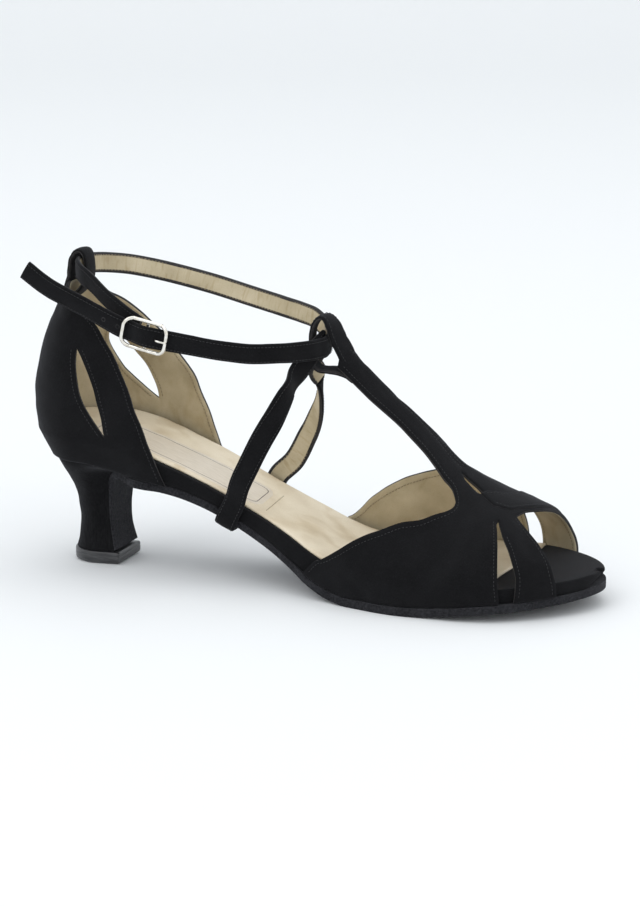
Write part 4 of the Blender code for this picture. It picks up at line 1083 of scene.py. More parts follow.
def strap_piece(name, frames, width, thick, closed, finishes, crown=0.22 * MM, waves=(), seed=0.0, pinch=None):
    """A lined strap with round edges; waves are (distance along, depth, width) of its dents."""
    section = strap_section(width, thick, crown)
    work = bmesh.new()
    laid = work.verts.layers.float_vector.new("laid")
    rings = []
    travelled = 0.0
    before = frames[0][0]
    for i, (point, along, across, out) in enumerate(frames):
        travelled += (point - before).length
        before = point
        dent = ripple(point, 9 * MM, 0.22 * MM, seed)
        for where, depth, spread in waves:
            away = (travelled - where * MM) / (spread * MM)
            dent -= depth * MM * math.exp(-away * away)
        narrow = pinch(i / (len(frames) - 1)) if pinch else 1.0
        ring = []
        for s, h, finish in section:
            edge_wave = ripple(point + across * s, 3.5 * MM, 0.10 * MM, seed + 3)
            spot = point + across * s * narrow + out * (h + dent + edge_wave)
            vert = work.verts.new(spot)
            vert[laid] = Vector((travelled, s, 0))
            ring.append(vert)
        rings.append(ring)
    if closed:
        rings.append(rings[0])
    count = len(section)
    for ring, following in zip(rings, rings[1:]):
        for k in range(count):
            j = (k + 1) % count
            face = work.faces.new((ring[k], ring[j], following[j], following[k]))
            face.material_index = section[k][2]
    if not closed:
        for ring in (rings[0], rings[-1]):
            work.faces.new(ring).material_index = 2
    bmesh.ops.recalc_face_normals(work, faces=work.faces)
    return made_object(name, work, finishes, 50)


def strap_rows(frames, width, thick, crown, inset=SEAM_INSET, inner=False, span=(0.0, 1.0)):
    """Stitch rows near both edges of a strap, outside or on its lining."""
    first = int(span[0] * (len(frames) - 1))
    last = int(span[1] * (len(frames) - 1)) + 1
    rows = []
    for side in (-1, 1):
        s = side * (width * 0.5 - inset)
        height = thick * 0.5 + crown * (1 - (s / (width * 0.5)) ** 2) * (0 if inner else 1)
        direction = -1 if inner else 1
        rows.append([(point + across * s + out * height * direction, out * direction)
                     for point, along, across, out in frames[first:last]])
    return rows


def loft(rings, closed_rings=True):
    """Skin closed rings of equal count and close both ends."""
    work = bmesh.new()
    rows = [[work.verts.new(point) for point in ring] for ring in rings]
    count = len(rows[0])
    for row, following in zip(rows, rows[1:]):
        for i in range(count):
            j = (i + 1) % count
            work.faces.new((row[i], row[j], following[j], following[i]))
    work.faces.new(rows[0])
    work.faces.new(rows[-1])
    bmesh.ops.recalc_face_normals(work, faces=work.faces)
    return work


def slab_rings(layers, end=None):
    """Rings of a board in layers; each has its growth, its height at a station and its draw."""
    columns = [slab_stations(end, grow(HEEL_ROUND * 0.5), draw) for grow, height, draw in layers]
    rings = []
    for stations in zip(*columns):
        ring = []
        for side, order in ((-1, 1), (1, -1)):
            for (grow, height, draw), station in list(zip(layers, stations))[::order]:
                reach = half_width(station, side, grow(station), draw)
                ring.append(place(station, side * reach, height(station)))
        rings.append(ring)
    return rings


def level(size):
    return lambda station: size


def insole_board():
    """Suede-covered board with a rounded rim."""
    rim = BOARD_EDGE
    layers = [(lambda station: -TUCK * seat_share(station), board_bottom, DRAW + FIT)]
    for k in range(6):
        turn = math.radians(90 * k / 5)
        inward = rim * (1 - math.cos(turn))
        down = rim * (1 - math.sin(turn))
        layers.append((level(-inward), lambda station, down=down: board_top(station) - down, 0.0))
    layers.append((level(-rim * 3), board_top, 0.0))
    dress(made_object("insole_cover", loft(slab_rings(layers)), [SUEDE], 40), "black_suede", "insole_board")


def sock_top(station):
    return board_top(station) + GAP + SOCK


def sock_end(side):
    """Station of the sock's front edge, a little further forward on the inner side."""
    return SOCK_LENGTH - 4.5 * MM * min(1.0, max(0.0, 0.5 - side / (36 * MM)))


def sock_piece():
    """Leather sock with a thin rounded edge, gently dished under the foot."""
    inset = BOARD_EDGE + SOCK_INSET
    steps = 14
    work = bmesh.new()
    rows = []
    stations = slab_stations(SOCK_LENGTH, -inset, 0.0)
    for station in stations:
        row = []
        for k in range(2 * steps + 1):
            share = (k - steps) / steps
            side = -1 if share < 0 else 1
            reach = half_width(station, side, -inset)
            across = reach * share
            end = sock_end(across)
            x = station if station < HEEL_ROUND else HEEL_ROUND + (station - HEEL_ROUND) * (
                (end - HEEL_ROUND) / (SOCK_LENGTH - HEEL_ROUND))
            rim = min(1.0, (1 - abs(share)) * reach / (1.2 * MM))
            height = sock_top(x) - 0.35 * MM * (1 - rim) ** 2
            spot = place(x, across, height)
            row.append(work.verts.new(spot + Vector((0, 0, ripple(spot, 20 * MM, 0.14 * MM, 4)))))
        rows.append(row)
    for row, following in zip(rows, rows[1:]):
        for a, b, c, d in zip(row, row[1:], following[1:], following):
            work.faces.new((a, d, c, b))
    bmesh.ops.recalc_face_normals(work, faces=work.faces)
    work.normal_update()
    if sum(face.normal.z for face in work.faces) < 0:
        bmesh.ops.reverse_faces(work, faces=work.faces)
    piece = made_object("sock", work, [SOCK_LEATHER])
    body = piece.modifiers.new("leather", "SOLIDIFY")
    body.thickness = SOCK * 0.8
    body.offset = -1.0
    dress(piece, "cream_leather", "sock_lining")


def panel_corners(inset):
    """Rounded outline of the label in plan, an inset inside its edge; x in the row's frame."""
    points = []
    radius = max(PANEL_CORNER - inset, 1.0 * MM)
    x0, x1 = PANEL_BACK + inset, PANEL_FRONT - inset
    y0, y1 = PANEL_LATERAL + inset, PANEL_MEDIAL - inset
    corners = ((x1 - radius, y1 - radius, 0), (x0 + radius, y1 - radius, 90),
               (x0 + radius, y0 + radius, 180), (x1 - radius, y0 + radius, 270))
    for x, y, start in corners:
        for k in range(9):
            turn = math.radians(start + 90 * k / 8)
            points.append(Vector((x + radius * math.cos(turn), y + radius * math.sin(turn), 0)))
    return points


def turned(flat):
    """A point of the label's plan, turned with the panel about its middle."""
    middle = Vector(((PANEL_BACK + PANEL_FRONT) / 2, (PANEL_LATERAL + PANEL_MEDIAL) / 2, 0))
    return middle + Matrix.Rotation(PANEL_TURN, 3, "Z") @ (flat - middle)


def on_sock(flat, lift):
    return place(flat.x, flat.y, sock_top(flat.x) + ripple(place(flat.x, flat.y, sock_top(flat.x)), 20 * MM, 0.14 * MM, 4)
                 + lift)


def drape_strip(name, outer, inner, lift, thick, finish):
    """A thin printed or foil shape on the sock between two outlines of equal count."""
    work = bmesh.new()
    rings = []
    for height in (lift, lift + thick):
        rings.append([[work.verts.new(on_sock(p, height)) for p in loop] for loop in (outer, inner)])
    count = len(outer)
    (low_out, low_in), (high_out, high_in) = rings
    for i in range(count):
        j = (i + 1) % count
        work.faces.new((high_out[i], high_out[j], high_in[j], high_in[i]))
        work.faces.new((low_out[j], low_out[i], low_in[i], low_in[j]))
        work.faces.new((low_out[i], low_out[j], high_out[j], high_out[i]))
        work.faces.new((low_in[j], low_in[i], high_in[i], high_in[j]))
    bmesh.ops.recalc_face_normals(work, faces=work.faces)
    return dress(made_object(name, work, [finish], 40), "cream_leather")


def densify(loop, step):
    result = []
    for a, b in zip(loop, loop[1:] + loop[:1]):
        pieces = max(1, math.ceil((b - a).length / step))
        result += [a.lerp(b, k / pieces) for k in range(pieces)]
    return result


def label():
    """Bare foil panel with a thin frame line, and the stitch line ahead of it."""
    rows = []
    work = bmesh.new()
    steps = 60
    for height in (0.0, PANEL_THICK):
        for k in range(steps + 1):
            x = PANEL_BACK + (PANEL_FRONT - PANEL_BACK) * k / steps
            near = min(x - PANEL_BACK, PANEL_FRONT - x, PANEL_CORNER)
            cut = PANEL_CORNER - math.sqrt(max(0.0, PANEL_CORNER ** 2 - (PANEL_CORNER - near) ** 2))
            row = []
            for m in range(17):
                y = PANEL_LATERAL + cut + (PANEL_MEDIAL - PANEL_LATERAL - 2 * cut) * m / 16
                row.append(work.verts.new(on_sock(turned(Vector((x, y, 0))), height)))
            rows.append(row)
    half = steps + 1
    for layer in (rows[:half], rows[half:]):
        for row, following in zip(layer, layer[1:]):
            for a, b, c, d in zip(row, row[1:], following[1:], following):
                work.faces.new((a, b, c, d))
    low, high = rows[:half], rows[half:]
    for m in (0, 16):
        for k in range(steps):
            work.faces.new((low[k][m], low[k + 1][m], high[k + 1][m], high[k][m]))
    for k in (0, steps):
        for m in range(16):
            work.faces.new((low[k][m], low[k][m + 1], high[k][m + 1], high[k][m]))
    bmesh.ops.recalc_face_normals(work, faces=work.faces)
    dress(made_object("label_panel", work, [FOIL], 40), "cream_leather")
    outer = densify(panel_corners(FRAME_INSET), 2 * MM)
    centre = Vector(((PANEL_BACK + PANEL_FRONT) / 2, (PANEL_LATERAL + PANEL_MEDIAL) / 2, 0))
    inner = []
    for point in outer:
        shift_x = -FRAME_LINE if point.x > centre.x else FRAME_LINE
        near_end = max(0.0, abs(point.x - centre.x) - (PANEL_FRONT - PANEL_BACK) / 2 + FRAME_INSET + PANEL_CORNER)
        end_share = min(1.0, near_end / PANEL_CORNER)
        shift_y = -FRAME_LINE if point.y > centre.y else FRAME_LINE
        inner.append(point + Vector((shift_x * end_share, shift_y, 0)))
    outer = [turned(point) for point in outer]
    inner = [turned(point) for point in inner]
    drape_strip("label_frame", outer, inner, PANEL_THICK * 0.6, PANEL_THICK * 0.8, LABEL_INK)
    row = []
    for k in range(30):
        flat = Vector((PANEL_SEAM, PANEL_LATERAL + (PANEL_MEDIAL - PANEL_LATERAL) * k / 29, 0))
        row.append((on_sock(turned(flat), 0.02 * MM), Vector((0, 0, 1))))
    sew("sock_stitches", [row], TAN_THREAD, "cream_leather")


def heel_ring(share, grow=0.0):
    """Outline of the heel block at a level: flat breast, round back."""
    back = heel_back(share) - grow
    front = heel_front(share)
    nose = HEEL_NOSE * (front - back)
    belly = heel_belly(share) + grow
    breast = heel_breast(share) + grow
    half = [(front, breast * k / SIDE_STEPS) for k in range(SIDE_STEPS)]
    for k in range(SIDE_STEPS):
        t = k / SIDE_STEPS
        blend = t * t * (3 - 2 * t)
        half.append((front + (back + nose - front) * t, breast + (belly - breast) * blend))
    for k in range(ARC_STEPS + 1):
        turn = math.pi / 2 * (1 - k / ARC_STEPS)
        half.append((back + nose * (1 - math.cos(turn)), belly * math.sin(turn)))
    lateral_half = [(station, -side) for station, side in half]
    medial_half = half[1:-1]
    return lateral_half + medial_half[::-1]


def heel_point(station, side, share):
    seat = board_bottom(station) - GAP
    floor = LIFT + GAP
    return place(station, side, floor + (seat - floor) * share)


def heel_cover():
    """Suede over the flared heel block, brushed downwards."""
    rings = []
    steps = 56
    for k in range(steps + 1):
        share = k / steps
        ring = []
        for station, side in heel_ring(share):
            spot = heel_point(station, side, share)
            centre = heel_point(0.5 * (heel_back(share) + heel_front(share)), 0, share)
            out = Vector((spot.x - centre.x, spot.y, 0)).normalized()
            streak = noise.noise(Vector((spot.x / (1.6 * MM), spot.y / (1.6 * MM), spot.z / (7 * MM))))
            ring.append(spot + out * (streak * 0.09 * MM + ripple(spot, 8 * MM, 0.12 * MM, 2)))
        rings.append(ring)
    dress(made_object("heel_cover", loft(rings), [HEEL_SUEDE], 50), "black_suede", "heel_block")


def top_lift():
    """Moulded lift with softened edges and a fine parting line."""
    rings = []
    reach = LIFT_FRONT - heel_front(0)
    profile = ((0.0, -0.5), (0.10, 0.55), (0.22, 0.92), (0.40, 1.0), (0.62, 1.0), (0.66, 0.86), (0.70, 1.0),
               (0.86, 0.98), (0.95, 0.8), (1.0, 0.45))
    for height, share in profile:
        ring = []
        for station, side in heel_ring(0, LIFT_EDGE * share):
            ahead = max(0.0, (station - heel_back(0)) / (heel_front(0) - heel_back(0)))
            ring.append(place(station + (reach - LIFT_EDGE * (1 - share)) * ahead ** 4, side, LIFT * height))
        rings.append(ring)
    dress(made_object("heel_tip", loft(rings), [PLASTIC], 60), "lift_plastic", "top_lift")


def sole_half(station, side):
    """Half width of the outsole: the board's own at the waist, past the upper at the ball."""
    ball = min(1.0, max(0.0, (station / LENGTH - 0.47) / 0.10))
    ball = ball * ball * (3 - 2 * ball)
    seat = seat_share(station)
    grow = max((FIT + WALL + WELT) * ball, (FIT + WALL) * seat)
    toe = min(1.0, max(0.0, (station - TOE_START + TOE_ROUND) / TOE_ROUND))
    grow += (TOE_EDGE - grow) * toe
    spread = min(1.0, 0.93 + 0.07 * (station - SEAT_DEPTH) / (HEEL_ROUND * 0.3))
    return half_width(station, side, grow) * spread


def sole_section(upper, lower, left, right):
    """Section of the sole with frayed, slightly rounded sides; last value 1 on the sides."""
    rounded = 0.18
    ring = []
    across = 12
    for k in range(across + 1):
        ring.append((lower, -left + (left + right) * k / across, 0.0))
    for k in range(1, 8):
        t = k / 8
        bulge = math.sin(math.pi * t)
        ring.append((lower.lerp(upper, t), right + rounded * MM * bulge, 1.0))
    for k in range(across + 1):
        ring.append((upper, right - (left + right) * k / across, 0.0))
    for k in range(1, 8):
        t = k / 8
        bulge = math.sin(math.pi * t)
        ring.append((upper.lerp(lower, t), -left - rounded * MM * bulge, 1.0))
    points = []
    for centre, side, loose in ring:
        spot = centre + Vector((0, side, 0))
        fray = noise.noise(spot / (1.1 * MM)) * 0.22 * MM * loose
        drift = noise.noise(spot / (0.5 * MM)) * 0.16 * MM * loose
        points.append(spot + Vector((0, math.copysign(1, side) * (fray + drift), 0)))
    return points


def outsole():
    """Brushed split-suede sole: breast flap, waist, tread and toe."""
    rings = []
    steps = 40
    for k in range(steps):
        share = SOLE_FOOT + (0.985 - SOLE_FOOT) * k / (steps - 1)
        station = heel_front(share)
        inner = heel_point(station, 0, share)
        along = heel_point(heel_front(share + 0.01), 0, share + 0.01) - inner
        down = Vector((along.z, 0, -along.x)).normalized()
        thick = FLAP + (OUTSOLE - FLAP) * max(0.0, (share - 0.6) / 0.4)
        width = heel_breast(share) + GAP
        inner += down * GAP
        rings.append(sole_section(inner, inner + down * thick, width, width))
    start = SEAT_DEPTH + 2.5 * MM
    front = TOE_START - TOE_ROUND
    stations = [start + (front - start) * k / SOLE_STEPS for k in range(SOLE_STEPS + 1)]
    turns = [math.radians(90 - 87 * k / (3 * ARC_STEPS)) for k in range(1, 3 * ARC_STEPS + 1)]
    stations += [front + (TOE_ROUND + TOE_EDGE) * math.cos(turn) for turn in turns]
    for station in stations:
        upper = place(station, 0, underside(station) + OUTSOLE)
        lower = place(station, 0, underside(station))
        rings.append(sole_section(upper, lower, sole_half(station, -1), sole_half(station, 1)))
    dress(made_object("tread", loft(rings), [SOLE_SUEDE], 50), "sole_suede", "outsole")


REAR_SCALE = (34 * MM, COUNTER)
FRONT_SCALE = (LENGTH, 52 * MM)


def pairs(points):
    return [tuple(point) for point in points]


def bent_front(station, girth):
    return front_surface(station * LENGTH, girth)


def piece_lift(creases, scale, seed, grow=0.0):
    """Height of a piece's outside above its plain surface, where a stitch lies."""
    def lift(flat, centre):
        rise = grow + crease_depth(flat, creases, scale) - SEAM_SINK
        return rise + ripple(centre, 14 * MM, 0.28 * MM, seed) + ripple(centre, 5 * MM, 0.10 * MM, seed + 7)
    return lift


def counter():
    """Counter with its slots and seams."""
    inner = inner_edge()
    outer = mirrored(COUNTER_EDGE)
    far = inner[-1].around
    near = outer[0].around
    bottom = [Rim(far + (near - far) * k / 24, SEAT) for k in range(25)]
    runs = [pairs(inner), pairs(bottom), pairs(outer)]
    loops = [outline(runs, REAR_SCALE)]
    slots = []
    for slot in (INNER_SLOT + INNER_SLOT[:1], mirrored(OUTER_SLOT + OUTER_SLOT[:1])):
        tip = min(range(len(slot)), key=lambda i: slot[i].height)
        slots.append([pairs(slot[:tip + 1]), pairs(slot[tip:])])
    loops += [outline(edges, REAR_SCALE) for edges in slots]
    rows = []
    for run in [runs[0], runs[2]] + slots[0] + slots[1]:
        rows += inset_row(run, REAR_SCALE, SEAM_INSET, -1, loops)
    piece = cut_piece("counter", loops, REAR_SCALE, rear_surface, -1, [SUEDE, LINING, EDGE], WALL, rows,
                      REAR_CREASES, seed=11.0)
    dress(piece, "black_suede", "upper_counter")
    lift = piece_lift(REAR_CREASES, REAR_SCALE, 11.0)
    sew("counter_stitches", seam_points(rows, rear_surface, REAR_SCALE, -1, lift), BLACK_THREAD, "black_suede")
    sew("counter_lining_stitches", seam_points(rows, rear_surface, REAR_SCALE, -1, lift, WALL), TAN_THREAD,
        "cream_leather")


def groove_line():
    return curve_through(lay([(0.550, BAR_SEAM), (0.65, BAR_SEAM - 0.01), (0.755, BAR_SEAM - 0.075)], FRONT_SCALE),
                         EDGE_STEP)


def upper_front():
    """Vamp, T-bar of two strips and the lower toe strap in one wall, with the band laid over it."""
    foot = [(0.522 + (0.864 - 0.522) * k / 18, -FOOT) for k in range(19)]
    strap_foot = [(0.886 + (0.944 - 0.886) * k / 4, -FOOT) for k in range(5)]
    upper_foot = [(0.921 + (0.850 - 0.921) * k / 4, FOOT) for k in range(5)]
    medial_foot = [(0.826 + (0.514 - 0.826) * k / 16, FOOT) for k in range(17)]
    lateral_throat = pairs(BAR_EDGE + THROAT)
    medial_throat = pairs(MEDIAL_THROAT + MEDIAL_BAR_EDGE)
    runs = [lateral_throat, foot, pairs(VAMP_FRONT), pairs(LOWER_STRAP_BACK), strap_foot,
            pairs(LOWER_STRAP_FRONT), pairs(UPPER_STRAP_FRONT), upper_foot, pairs(UPPER_STRAP_BACK),
            pairs(MEDIAL_FRONT), medial_foot, medial_throat]
    hole = pairs(CROSS_GAP + CROSS_GAP[:1])
    loops = [outline(runs, FRONT_SCALE), outline([hole[:4], hole[3:]], FRONT_SCALE)]
    rows = []
    for run in (lateral_throat, medial_throat, pairs(VAMP_FRONT), pairs(LOWER_STRAP_BACK),
                pairs(LOWER_STRAP_FRONT), pairs(UPPER_STRAP_FRONT), pairs(UPPER_STRAP_BACK), pairs(MEDIAL_FRONT)):
        rows += inset_row(run, FRONT_SCALE, SEAM_INSET, 1, loops)
    groove = groove_line()
    for side in (-1, 1):
        shifted = [p + Vector((0, side * BAR_SEAM_INSET, 0)) for p in groove]
        rows.append(shifted)
    piece = cut_piece("upper", loops, FRONT_SCALE, bent_front, 1, [SUEDE, LINING, EDGE], WALL, rows + [groove],
                      CREASES, seed=3.0)
    dress(piece, "black_suede", "upper_front")
    lift = piece_lift(CREASES, FRONT_SCALE, 3.0)
    sew("upper_stitches", seam_points(rows, bent_front, FRONT_SCALE, 1, lift), BLACK_THREAD, "black_suede")
    lining_rows = [row for row in rows if len(row) > 12]
    sew("upper_lining_stitches", seam_points(lining_rows, bent_front, FRONT_SCALE, 1, lift, WALL), TAN_THREAD,
        "cream_leather")

    band_runs = [pairs(BAND_BACK), pairs(BAND_FRONT)]
    band_loops = [outline(band_runs, FRONT_SCALE)]
    band_rows = []
    for run in band_runs:
        band_rows += inset_row(run, FRONT_SCALE, SEAM_INSET, 1, band_loops)
        band_rows += inset_row(run, FRONT_SCALE, SEAM_INSET, -1, band_loops)
    inside_rows = []
    for row in band_rows:
        flat = np.array([(p.x, p.y) for p in row])
        if inside_mask(flat, band_loops[0]).mean() > 0.9:
            inside_rows.append(row)
    band = cut_piece("toe_band", band_loops, FRONT_SCALE, bent_front, 1, [SUEDE, LINING, EDGE],
                     OVERLAY + WALL * 0.4, inside_rows, CREASES, OVERLAY, 3.0)
    dress(band, "black_suede", "upper_front")
    band_lift = piece_lift(CREASES, FRONT_SCALE, 3.0, OVERLAY)
    sew("band_stitches", seam_points(inside_rows, bent_front, FRONT_SCALE, 1, band_lift), BLACK_THREAD,
        "black_suede")


def bar_loop():
    """The T-bar's end turned over the ankle strap and back inside."""
    spine, across = bar_loop_path(STRAP_STEP * 0.7)
    core = ankle_point("front") + Vector((0, 0, 1 * MM))
    frames = strap_frames(spine, across, lambda point: point - core, False)
    loop = strap_piece("bar_loop", frames, BAR_LOOP_WIDTH, LOOP_WALL, False, [SUEDE, SUEDE, EDGE],
                       0.3 * MM, ((6, 0.35, 1.2), (13, 0.3, 1.0), (21, 0.3, 1.5)), 21.0)
    dress(loop, "black_suede", "upper_front")
    rows = strap_rows(frames, BAR_LOOP_WIDTH, LOOP_WALL, 0.3 * MM, span=(0.0, 0.5))
    sew("loop_stitches", rows, BLACK_THREAD, "black_suede")


def heel_loop():
    strap_back = ankle_point("back")
    spine = curve_through([strap_back + Vector((x * MM, 0, z * MM)) for x, z in HEEL_LOOP], STRAP_STEP * 0.7)
    core = strap_back
    frames = strap_frames(spine, Vector((0, 1, 0)), lambda point: point - core, False)
    loop = strap_piece("heel_loop", frames, LOOP_WIDTH, LOOP_WALL, False, [SUEDE, SUEDE, EDGE], 0.3 * MM,
                       ((9, 0.25, 1.2), (18, 0.25, 1.0)), 31.0)
    dress(loop, "black_suede", "upper_counter")


def ankle_strap():
    """Lined strap round the ankle, through both loops and the buckle, with a straight-cut end."""
    spine = curve_through([knot_point(knot) for knot in ANKLE], STRAP_STEP)
    centre = place(ANKLE_CENTRE * LENGTH, 0, 0)
    up = []
    for point in spine:
        out = Vector((point.x - centre.x, point.y, 0)).normalized()
        near = min((point - ankle_point(spot)).length for spot in ANKLE_ROWS)
        share = min(1.0, max(0.0, (near - ANKLE_WIDTH) / (2 * ANKLE_WIDTH)))
        up.append(Vector((0, 0, 1)) + out * ANKLE_LEAN * share)
    frames = strap_frames(spine, up, lambda point: Vector((point.x - centre.x, point.y, 0)), False)
    waves = ((20, 0.25, 4), (52, 0.35, 3), (96, 0.3, 5), (132, 0.4, 2.5), (139, 0.3, 2.0), (176, 0.3, 4),
             (230, 0.3, 5), (300, 0.25, 4))
    strap = strap_piece("ankle_band", frames, ANKLE_WIDTH, STRAP, False, [SUEDE, STRAP_LINING, EDGE],
                        0.25 * MM, waves, 41.0)
    dress(strap, "black_suede", "ankle_strap")
    sew("ankle_stitches", strap_rows(frames, ANKLE_WIDTH, STRAP, 0.25 * MM, 1.1 * MM), BLACK_THREAD,
        "black_suede")
    sew("ankle_lining_stitches", strap_rows(frames, ANKLE_WIDTH, STRAP, 0.25 * MM, 1.1 * MM, True), TAN_THREAD,
        "cream_leather")
    return frames


def arch_path():
    """Spine and width direction of the closed strap from the T-bar round under the waist."""
    station = ARCH_STATION * LENGTH
    slope = (underside(station + MM) - underside(station - MM)) / (2 * MM)
    back = Vector((-1, 0, -slope)).normalized()
    down = Vector((slope, 0, -1)).normalized()
    under = place(station, 0, underside(station)) + down * (ARCH_ROOM + STRAP / 2)
    rim = -down * (board_top(station) - underside(station) + GAP + STRAP)
    sides = {}
    for side in (-1, 1):
        near = [station + ARCH_WIDTH * share for share in (-0.9, -0.45, 0, 0.45, 0.9, 1.35)]
        reach = max(max(half_width(x, side), sole_half(x, side)) for x in near)
        edge = side * (reach + ARCH_ROOM + STRAP / 2)
        turn = ARCH_CORNER
        low = [under + Vector((0, edge, 0)) + rim, under + Vector((0, edge, 0)) + rim * 0.5,
               under + Vector((0, edge, 0)) - down * turn,
               under + Vector((0, edge - side * turn * 0.3, 0)) - down * turn * 0.3,
               under + Vector((0, edge - side * turn, 0))]
        sides[side] = [knot_point(knot) for knot in ARCH_SIDES[side]] + low
    points = [knot_point(knot) for knot in ARCH_TOP] + sides[-1] + [under] + sides[1][::-1]
    spine = curve_through(points, STRAP_STEP, closed=True)
    floor = board_top(station) + STRAP
    up = []
    for point in spine:
        share = min(1.0, max(0.0, (floor * 1.7 - point.z) / floor))
        up.append(Vector((0, 0, 1)).lerp(back, share))
    return spine, up


def arch_strap():
    spine, up = arch_path()
    core = sum(spine, Vector()) / len(spine)
    frames = strap_frames(spine, up, lambda point: Vector((0, point.y - core.y, point.z - core.z)), True)
    waves = ((14, 0.3, 3), (40, 0.3, 5), (70, 0.25, 4), (150, 0.3, 5), (176, 0.3, 4))
    strap = strap_piece("arch_band", frames, ARCH_WIDTH, STRAP, True, [SUEDE, STRAP_LINING, EDGE],
                        0.25 * MM, waves, 51.0)
    dress(strap, "black_suede", "arch_strap")
    sew("arch_stitches", strap_rows(frames, ARCH_WIDTH, STRAP, 0.25 * MM, 1.1 * MM), BLACK_THREAD, "black_suede")
    sew("arch_lining_stitches", strap_rows(frames, ARCH_WIDTH, STRAP, 0.25 * MM, 1.1 * MM, True), TAN_THREAD,
        "cream_leather")


def wire_piece(name, points, radii, closed, squash=1.0, flat_to=None):
    """A bent wire of changing radius; squash flattens it along a direction."""
    work = bmesh.new()
    sides = 14
    rings = []
    count = len(points)
    for i, point in enumerate(points):
        before = points[i - 1] if closed or i else point
        after = points[(i + 1) % count] if closed or i < count - 1 else point
        along = (after - before).normalized()
        thin = (flat_to - flat_to.dot(along) * along).normalized()
        wide = along.cross(thin)
        ring = []
        for k in range(sides):
            turn = 2 * math.pi * k / sides
            ring.append(work.verts.new(point + wide * math.cos(turn) * radii[i]
                                       + thin * math.sin(turn) * radii[i] * squash))
        rings.append(ring)
    if closed:
        rings.append(rings[0])
    for ring, following in zip(rings, rings[1:]):
        for k in range(sides):
            j = (k + 1) % sides
            work.faces.new((ring[k], ring[j], following[j], following[k]))
    if not closed:
        work.faces.new(rings[0])
        work.faces.new(rings[-1])
    bmesh.ops.recalc_face_normals(work, faces=work.faces)
    return made_object(name, work, [NICKEL], 50)


def buckle():
    """Plated frame with its centre bar, and the prong that comes up through the strap."""
    middle = ankle_point("buckle")
    ahead = (ankle_point("buckle", 1) - ankle_point("buckle", -1)).normalized()
    up = (Vector((0, 0, 1)) - ahead.z * ahead).normalized()
    out = ahead.cross(up)
    if out.y > 0:
        out = -out
    radius = BUCKLE_WIRE / 2
    strap_middle = middle
    middle = middle - out * (STRAP / 2 + GAP * 2 + radius)
    half_length = BUCKLE_LENGTH / 2 - radius
    half_height = ANKLE_WIDTH / 2 + BUCKLE_ROOM + radius
    corner = BUCKLE_LENGTH * 0.18
    loop = []
    for sx, sz, start in ((1, 1, 0), (-1, 1, 90), (-1, -1, 180), (1, -1, 270)):
        for k in range(13):
            turn = math.radians(start + 90 * k / 12)
            x = sx * (half_length - corner) + corner * math.cos(turn)
            z = sz * (half_height - corner) + corner * math.sin(turn)
            loop.append(middle + ahead * x + up * z + out * (x / half_length) ** 2 * BUCKLE_BOW)
    frame_loop = curve_through(loop, 0.5 * MM, closed=True)
    ring = wire_piece("buckle_ring", frame_loop, [radius] * len(frame_loop), True, 0.85, out)
    dress(ring, "nickel", "buckle_frame")
    bar_line = curve_through([middle + up * half_height * share for share in (-1, -0.33, 0.33, 1)], 0.6 * MM)
    bar = wire_piece("buckle_bar", bar_line, [radius * 0.85] * len(bar_line), False, 1.0, out)
    dress(bar, "nickel", "buckle_frame")
    face = strap_middle + out * (STRAP / 2)
    prong_radius = radius * 0.62
    end = half_length
    path = [middle - out * radius * 0.4 + ahead * -0.6 * MM, middle + ahead * 2.2 * MM + out * 0.2 * MM,
            face + ahead * 4.6 * MM + out * -0.6 * MM, face + ahead * 6.2 * MM + out * 0.9 * MM,
            middle + ahead * end + out * (BUCKLE_BOW + radius + prong_radius * 0.6),
            middle + ahead * (end + 0.5 * MM) + out * (BUCKLE_BOW + radius * 0.6)]
    line = curve_through(path, 0.4 * MM)
    radii = [prong_radius * (1.0 - 0.35 * (i / len(line)) ** 2) for i in range(len(line))]
    prong = wire_piece("buckle_prong", line, radii, False, 0.8, out)
    dress(prong, "nickel", "buckle_frame")


def holes(frames):
    """Punched holes in the strap beyond the buckle, as dark dimples with a pressed rim."""
    work = bmesh.new()
    buckle_at = ankle_point("buckle")
    nearest = min(range(len(frames)), key=lambda i: (frames[i][0] - buckle_at).length)
    for distance in (-12.5, -19.0):
        index = nearest + round(distance * MM / STRAP_STEP)
        point, along, across, out = frames[index]
        centre = point + out * (STRAP / 2 + 0.2 * MM)
        rings = []
        for reach, height in ((0.95, -0.25), (0.9, 0.06), (0.72, 0.10), (0.6, -0.05), (0.5, -0.35)):
            ring = []
            for k in range(16):
                turn = 2 * math.pi * k / 16
                ring.append(work.verts.new(centre + along * math.cos(turn) * reach * MM
                                           + across * math.sin(turn) * reach * MM + out * height * MM))
            rings.append(ring)
        for ring, following in zip(rings, rings[1:]):
            for k in range(16):
                j = (k + 1) % 16
                work.faces.new((ring[k], ring[j], following[j], following[k]))
        work.faces.new(rings[0])
        work.faces.new(rings[-1])
    bmesh.ops.recalc_face_normals(work, faces=work.faces)
    dress(made_object("strap_holes", work, [EDGE], 50), "black_suede")


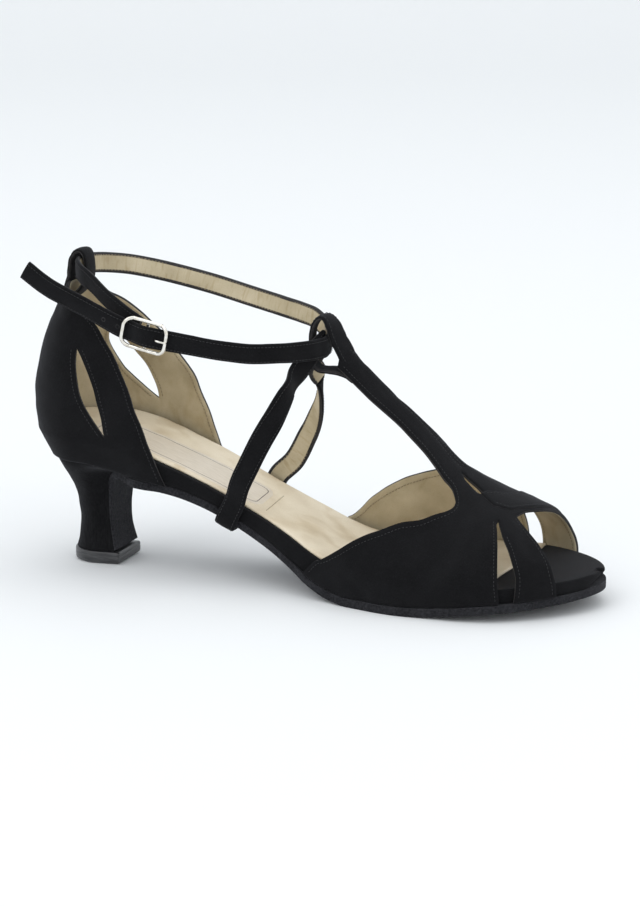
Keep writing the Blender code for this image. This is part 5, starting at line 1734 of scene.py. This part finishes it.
def stage():
    """Pale sweep: floor that turns up into the backdrop far behind."""
    work = bmesh.new()
    profile = [(-4.0, 0.0), (2.2, 0.0)]
    for k in range(1, 13):
        turn = math.radians(90 * k / 12)
        profile.append((2.2 + 1.4 * math.sin(turn), 1.4 * (1 - math.cos(turn))))
    profile.append((3.6, 5.0))
    rows = []
    lean = Vector((-math.sin(math.radians(CAMERA_AZIMUTH)), math.cos(math.radians(CAMERA_AZIMUTH)), 0))
    side = Vector((lean.y, -lean.x, 0))
    for reach in (-6.0, -2.0, 2.0, 6.0):
        rows.append([work.verts.new(side * reach + lean * depth + Vector((0, 0, height - 0.1 * MM)))
                     for depth, height in profile])
    for row, following in zip(rows, rows[1:]):
        for a, b, c, d in zip(row, row[1:], following[1:], following):
            work.faces.new((a, d, c, b))
    bmesh.ops.recalc_face_normals(work, faces=work.faces)
    paper = new_material("stage_paper", (0.86, 0.87, 0.88), 0.7)
    shader_of(paper).inputs["Specular IOR Level"].default_value = 0.15
    sweep = made_object("stage_sweep", work, [paper])


def area_light(name, where, towards, size, power, colour=(1.0, 1.0, 1.0)):
    data = bpy.data.lights.new(name, "AREA")
    data.shape = "RECTANGLE"
    data.size = size[0]
    data.size_y = size[1]
    data.energy = power
    data.color = colour
    lamp = bpy.data.objects.new(name, data)
    lamp.location = where
    lamp.rotation_euler = (Vector(towards) - Vector(where)).to_track_quat("-Z", "Y").to_euler()
    bpy.context.scene.collection.objects.link(lamp)


def lights():
    world = bpy.data.worlds.new("studio")
    world.use_nodes = True
    world.node_tree.nodes["Background"].inputs["Color"].default_value = (0.95, 0.98, 1.0, 1.0)
    world.node_tree.nodes["Background"].inputs["Strength"].default_value = 1.04
    bpy.context.scene.world = world
    aim = (0.09, 0.0, 0.05)
    area_light("key_softbox", (-0.7, -1.3, 1.7), aim, (1.4, 1.4), 6.5)
    area_light("top_softbox", (0.2, 0.4, 1.9), aim, (1.8, 1.2), 4.5)
    area_light("fill_card", (1.5, -0.8, 0.8), aim, (1.0, 1.0), 2)
    bpy.context.scene.view_settings.view_transform = "Standard"


# Camera: the photograph's angle to the shoe
CAMERA_AZIMUTH = 20.08
CAMERA_ELEVATION = 13.10
CAMERA_DISTANCE = 1.1
CAMERA_TARGET = (120 * MM - ORIGIN, 0.0, 55 * MM)
CAMERA_RIGHT = 2.90 * MM
CAMERA_UP = -3.80 * MM
FOCAL_PIXELS = 2751.2
SENSOR = 36.0


def camera():
    turn = math.radians(CAMERA_AZIMUTH)
    tilt = math.radians(CAMERA_ELEVATION)
    back = Vector((math.sin(turn) * math.cos(tilt), -math.cos(turn) * math.cos(tilt), math.sin(tilt)))
    right = (-back).cross(Vector((0, 0, 1))).normalized()
    above = right.cross(-back)
    data = bpy.data.cameras.new("camera")
    data.sensor_fit = "VERTICAL"
    data.sensor_height = SENSOR
    data.lens = FOCAL_PIXELS / RENDER_HEIGHT * SENSOR
    data.clip_end = 50
    made = bpy.data.objects.new("camera", data)
    made.location = Vector(CAMERA_TARGET) + back * CAMERA_DISTANCE + right * CAMERA_RIGHT + above * CAMERA_UP
    made.rotation_euler = (-back).to_track_quat("-Z", "Y").to_euler()
    bpy.context.scene.collection.objects.link(made)
    bpy.context.scene.camera = made


camera()
lights()
stage()
insole_board()
sock_piece()
label()
heel_cover()
top_lift()
outsole()
counter()
upper_front()
bar_loop()
heel_loop()
holes(ankle_strap())
arch_strap()
buckle()
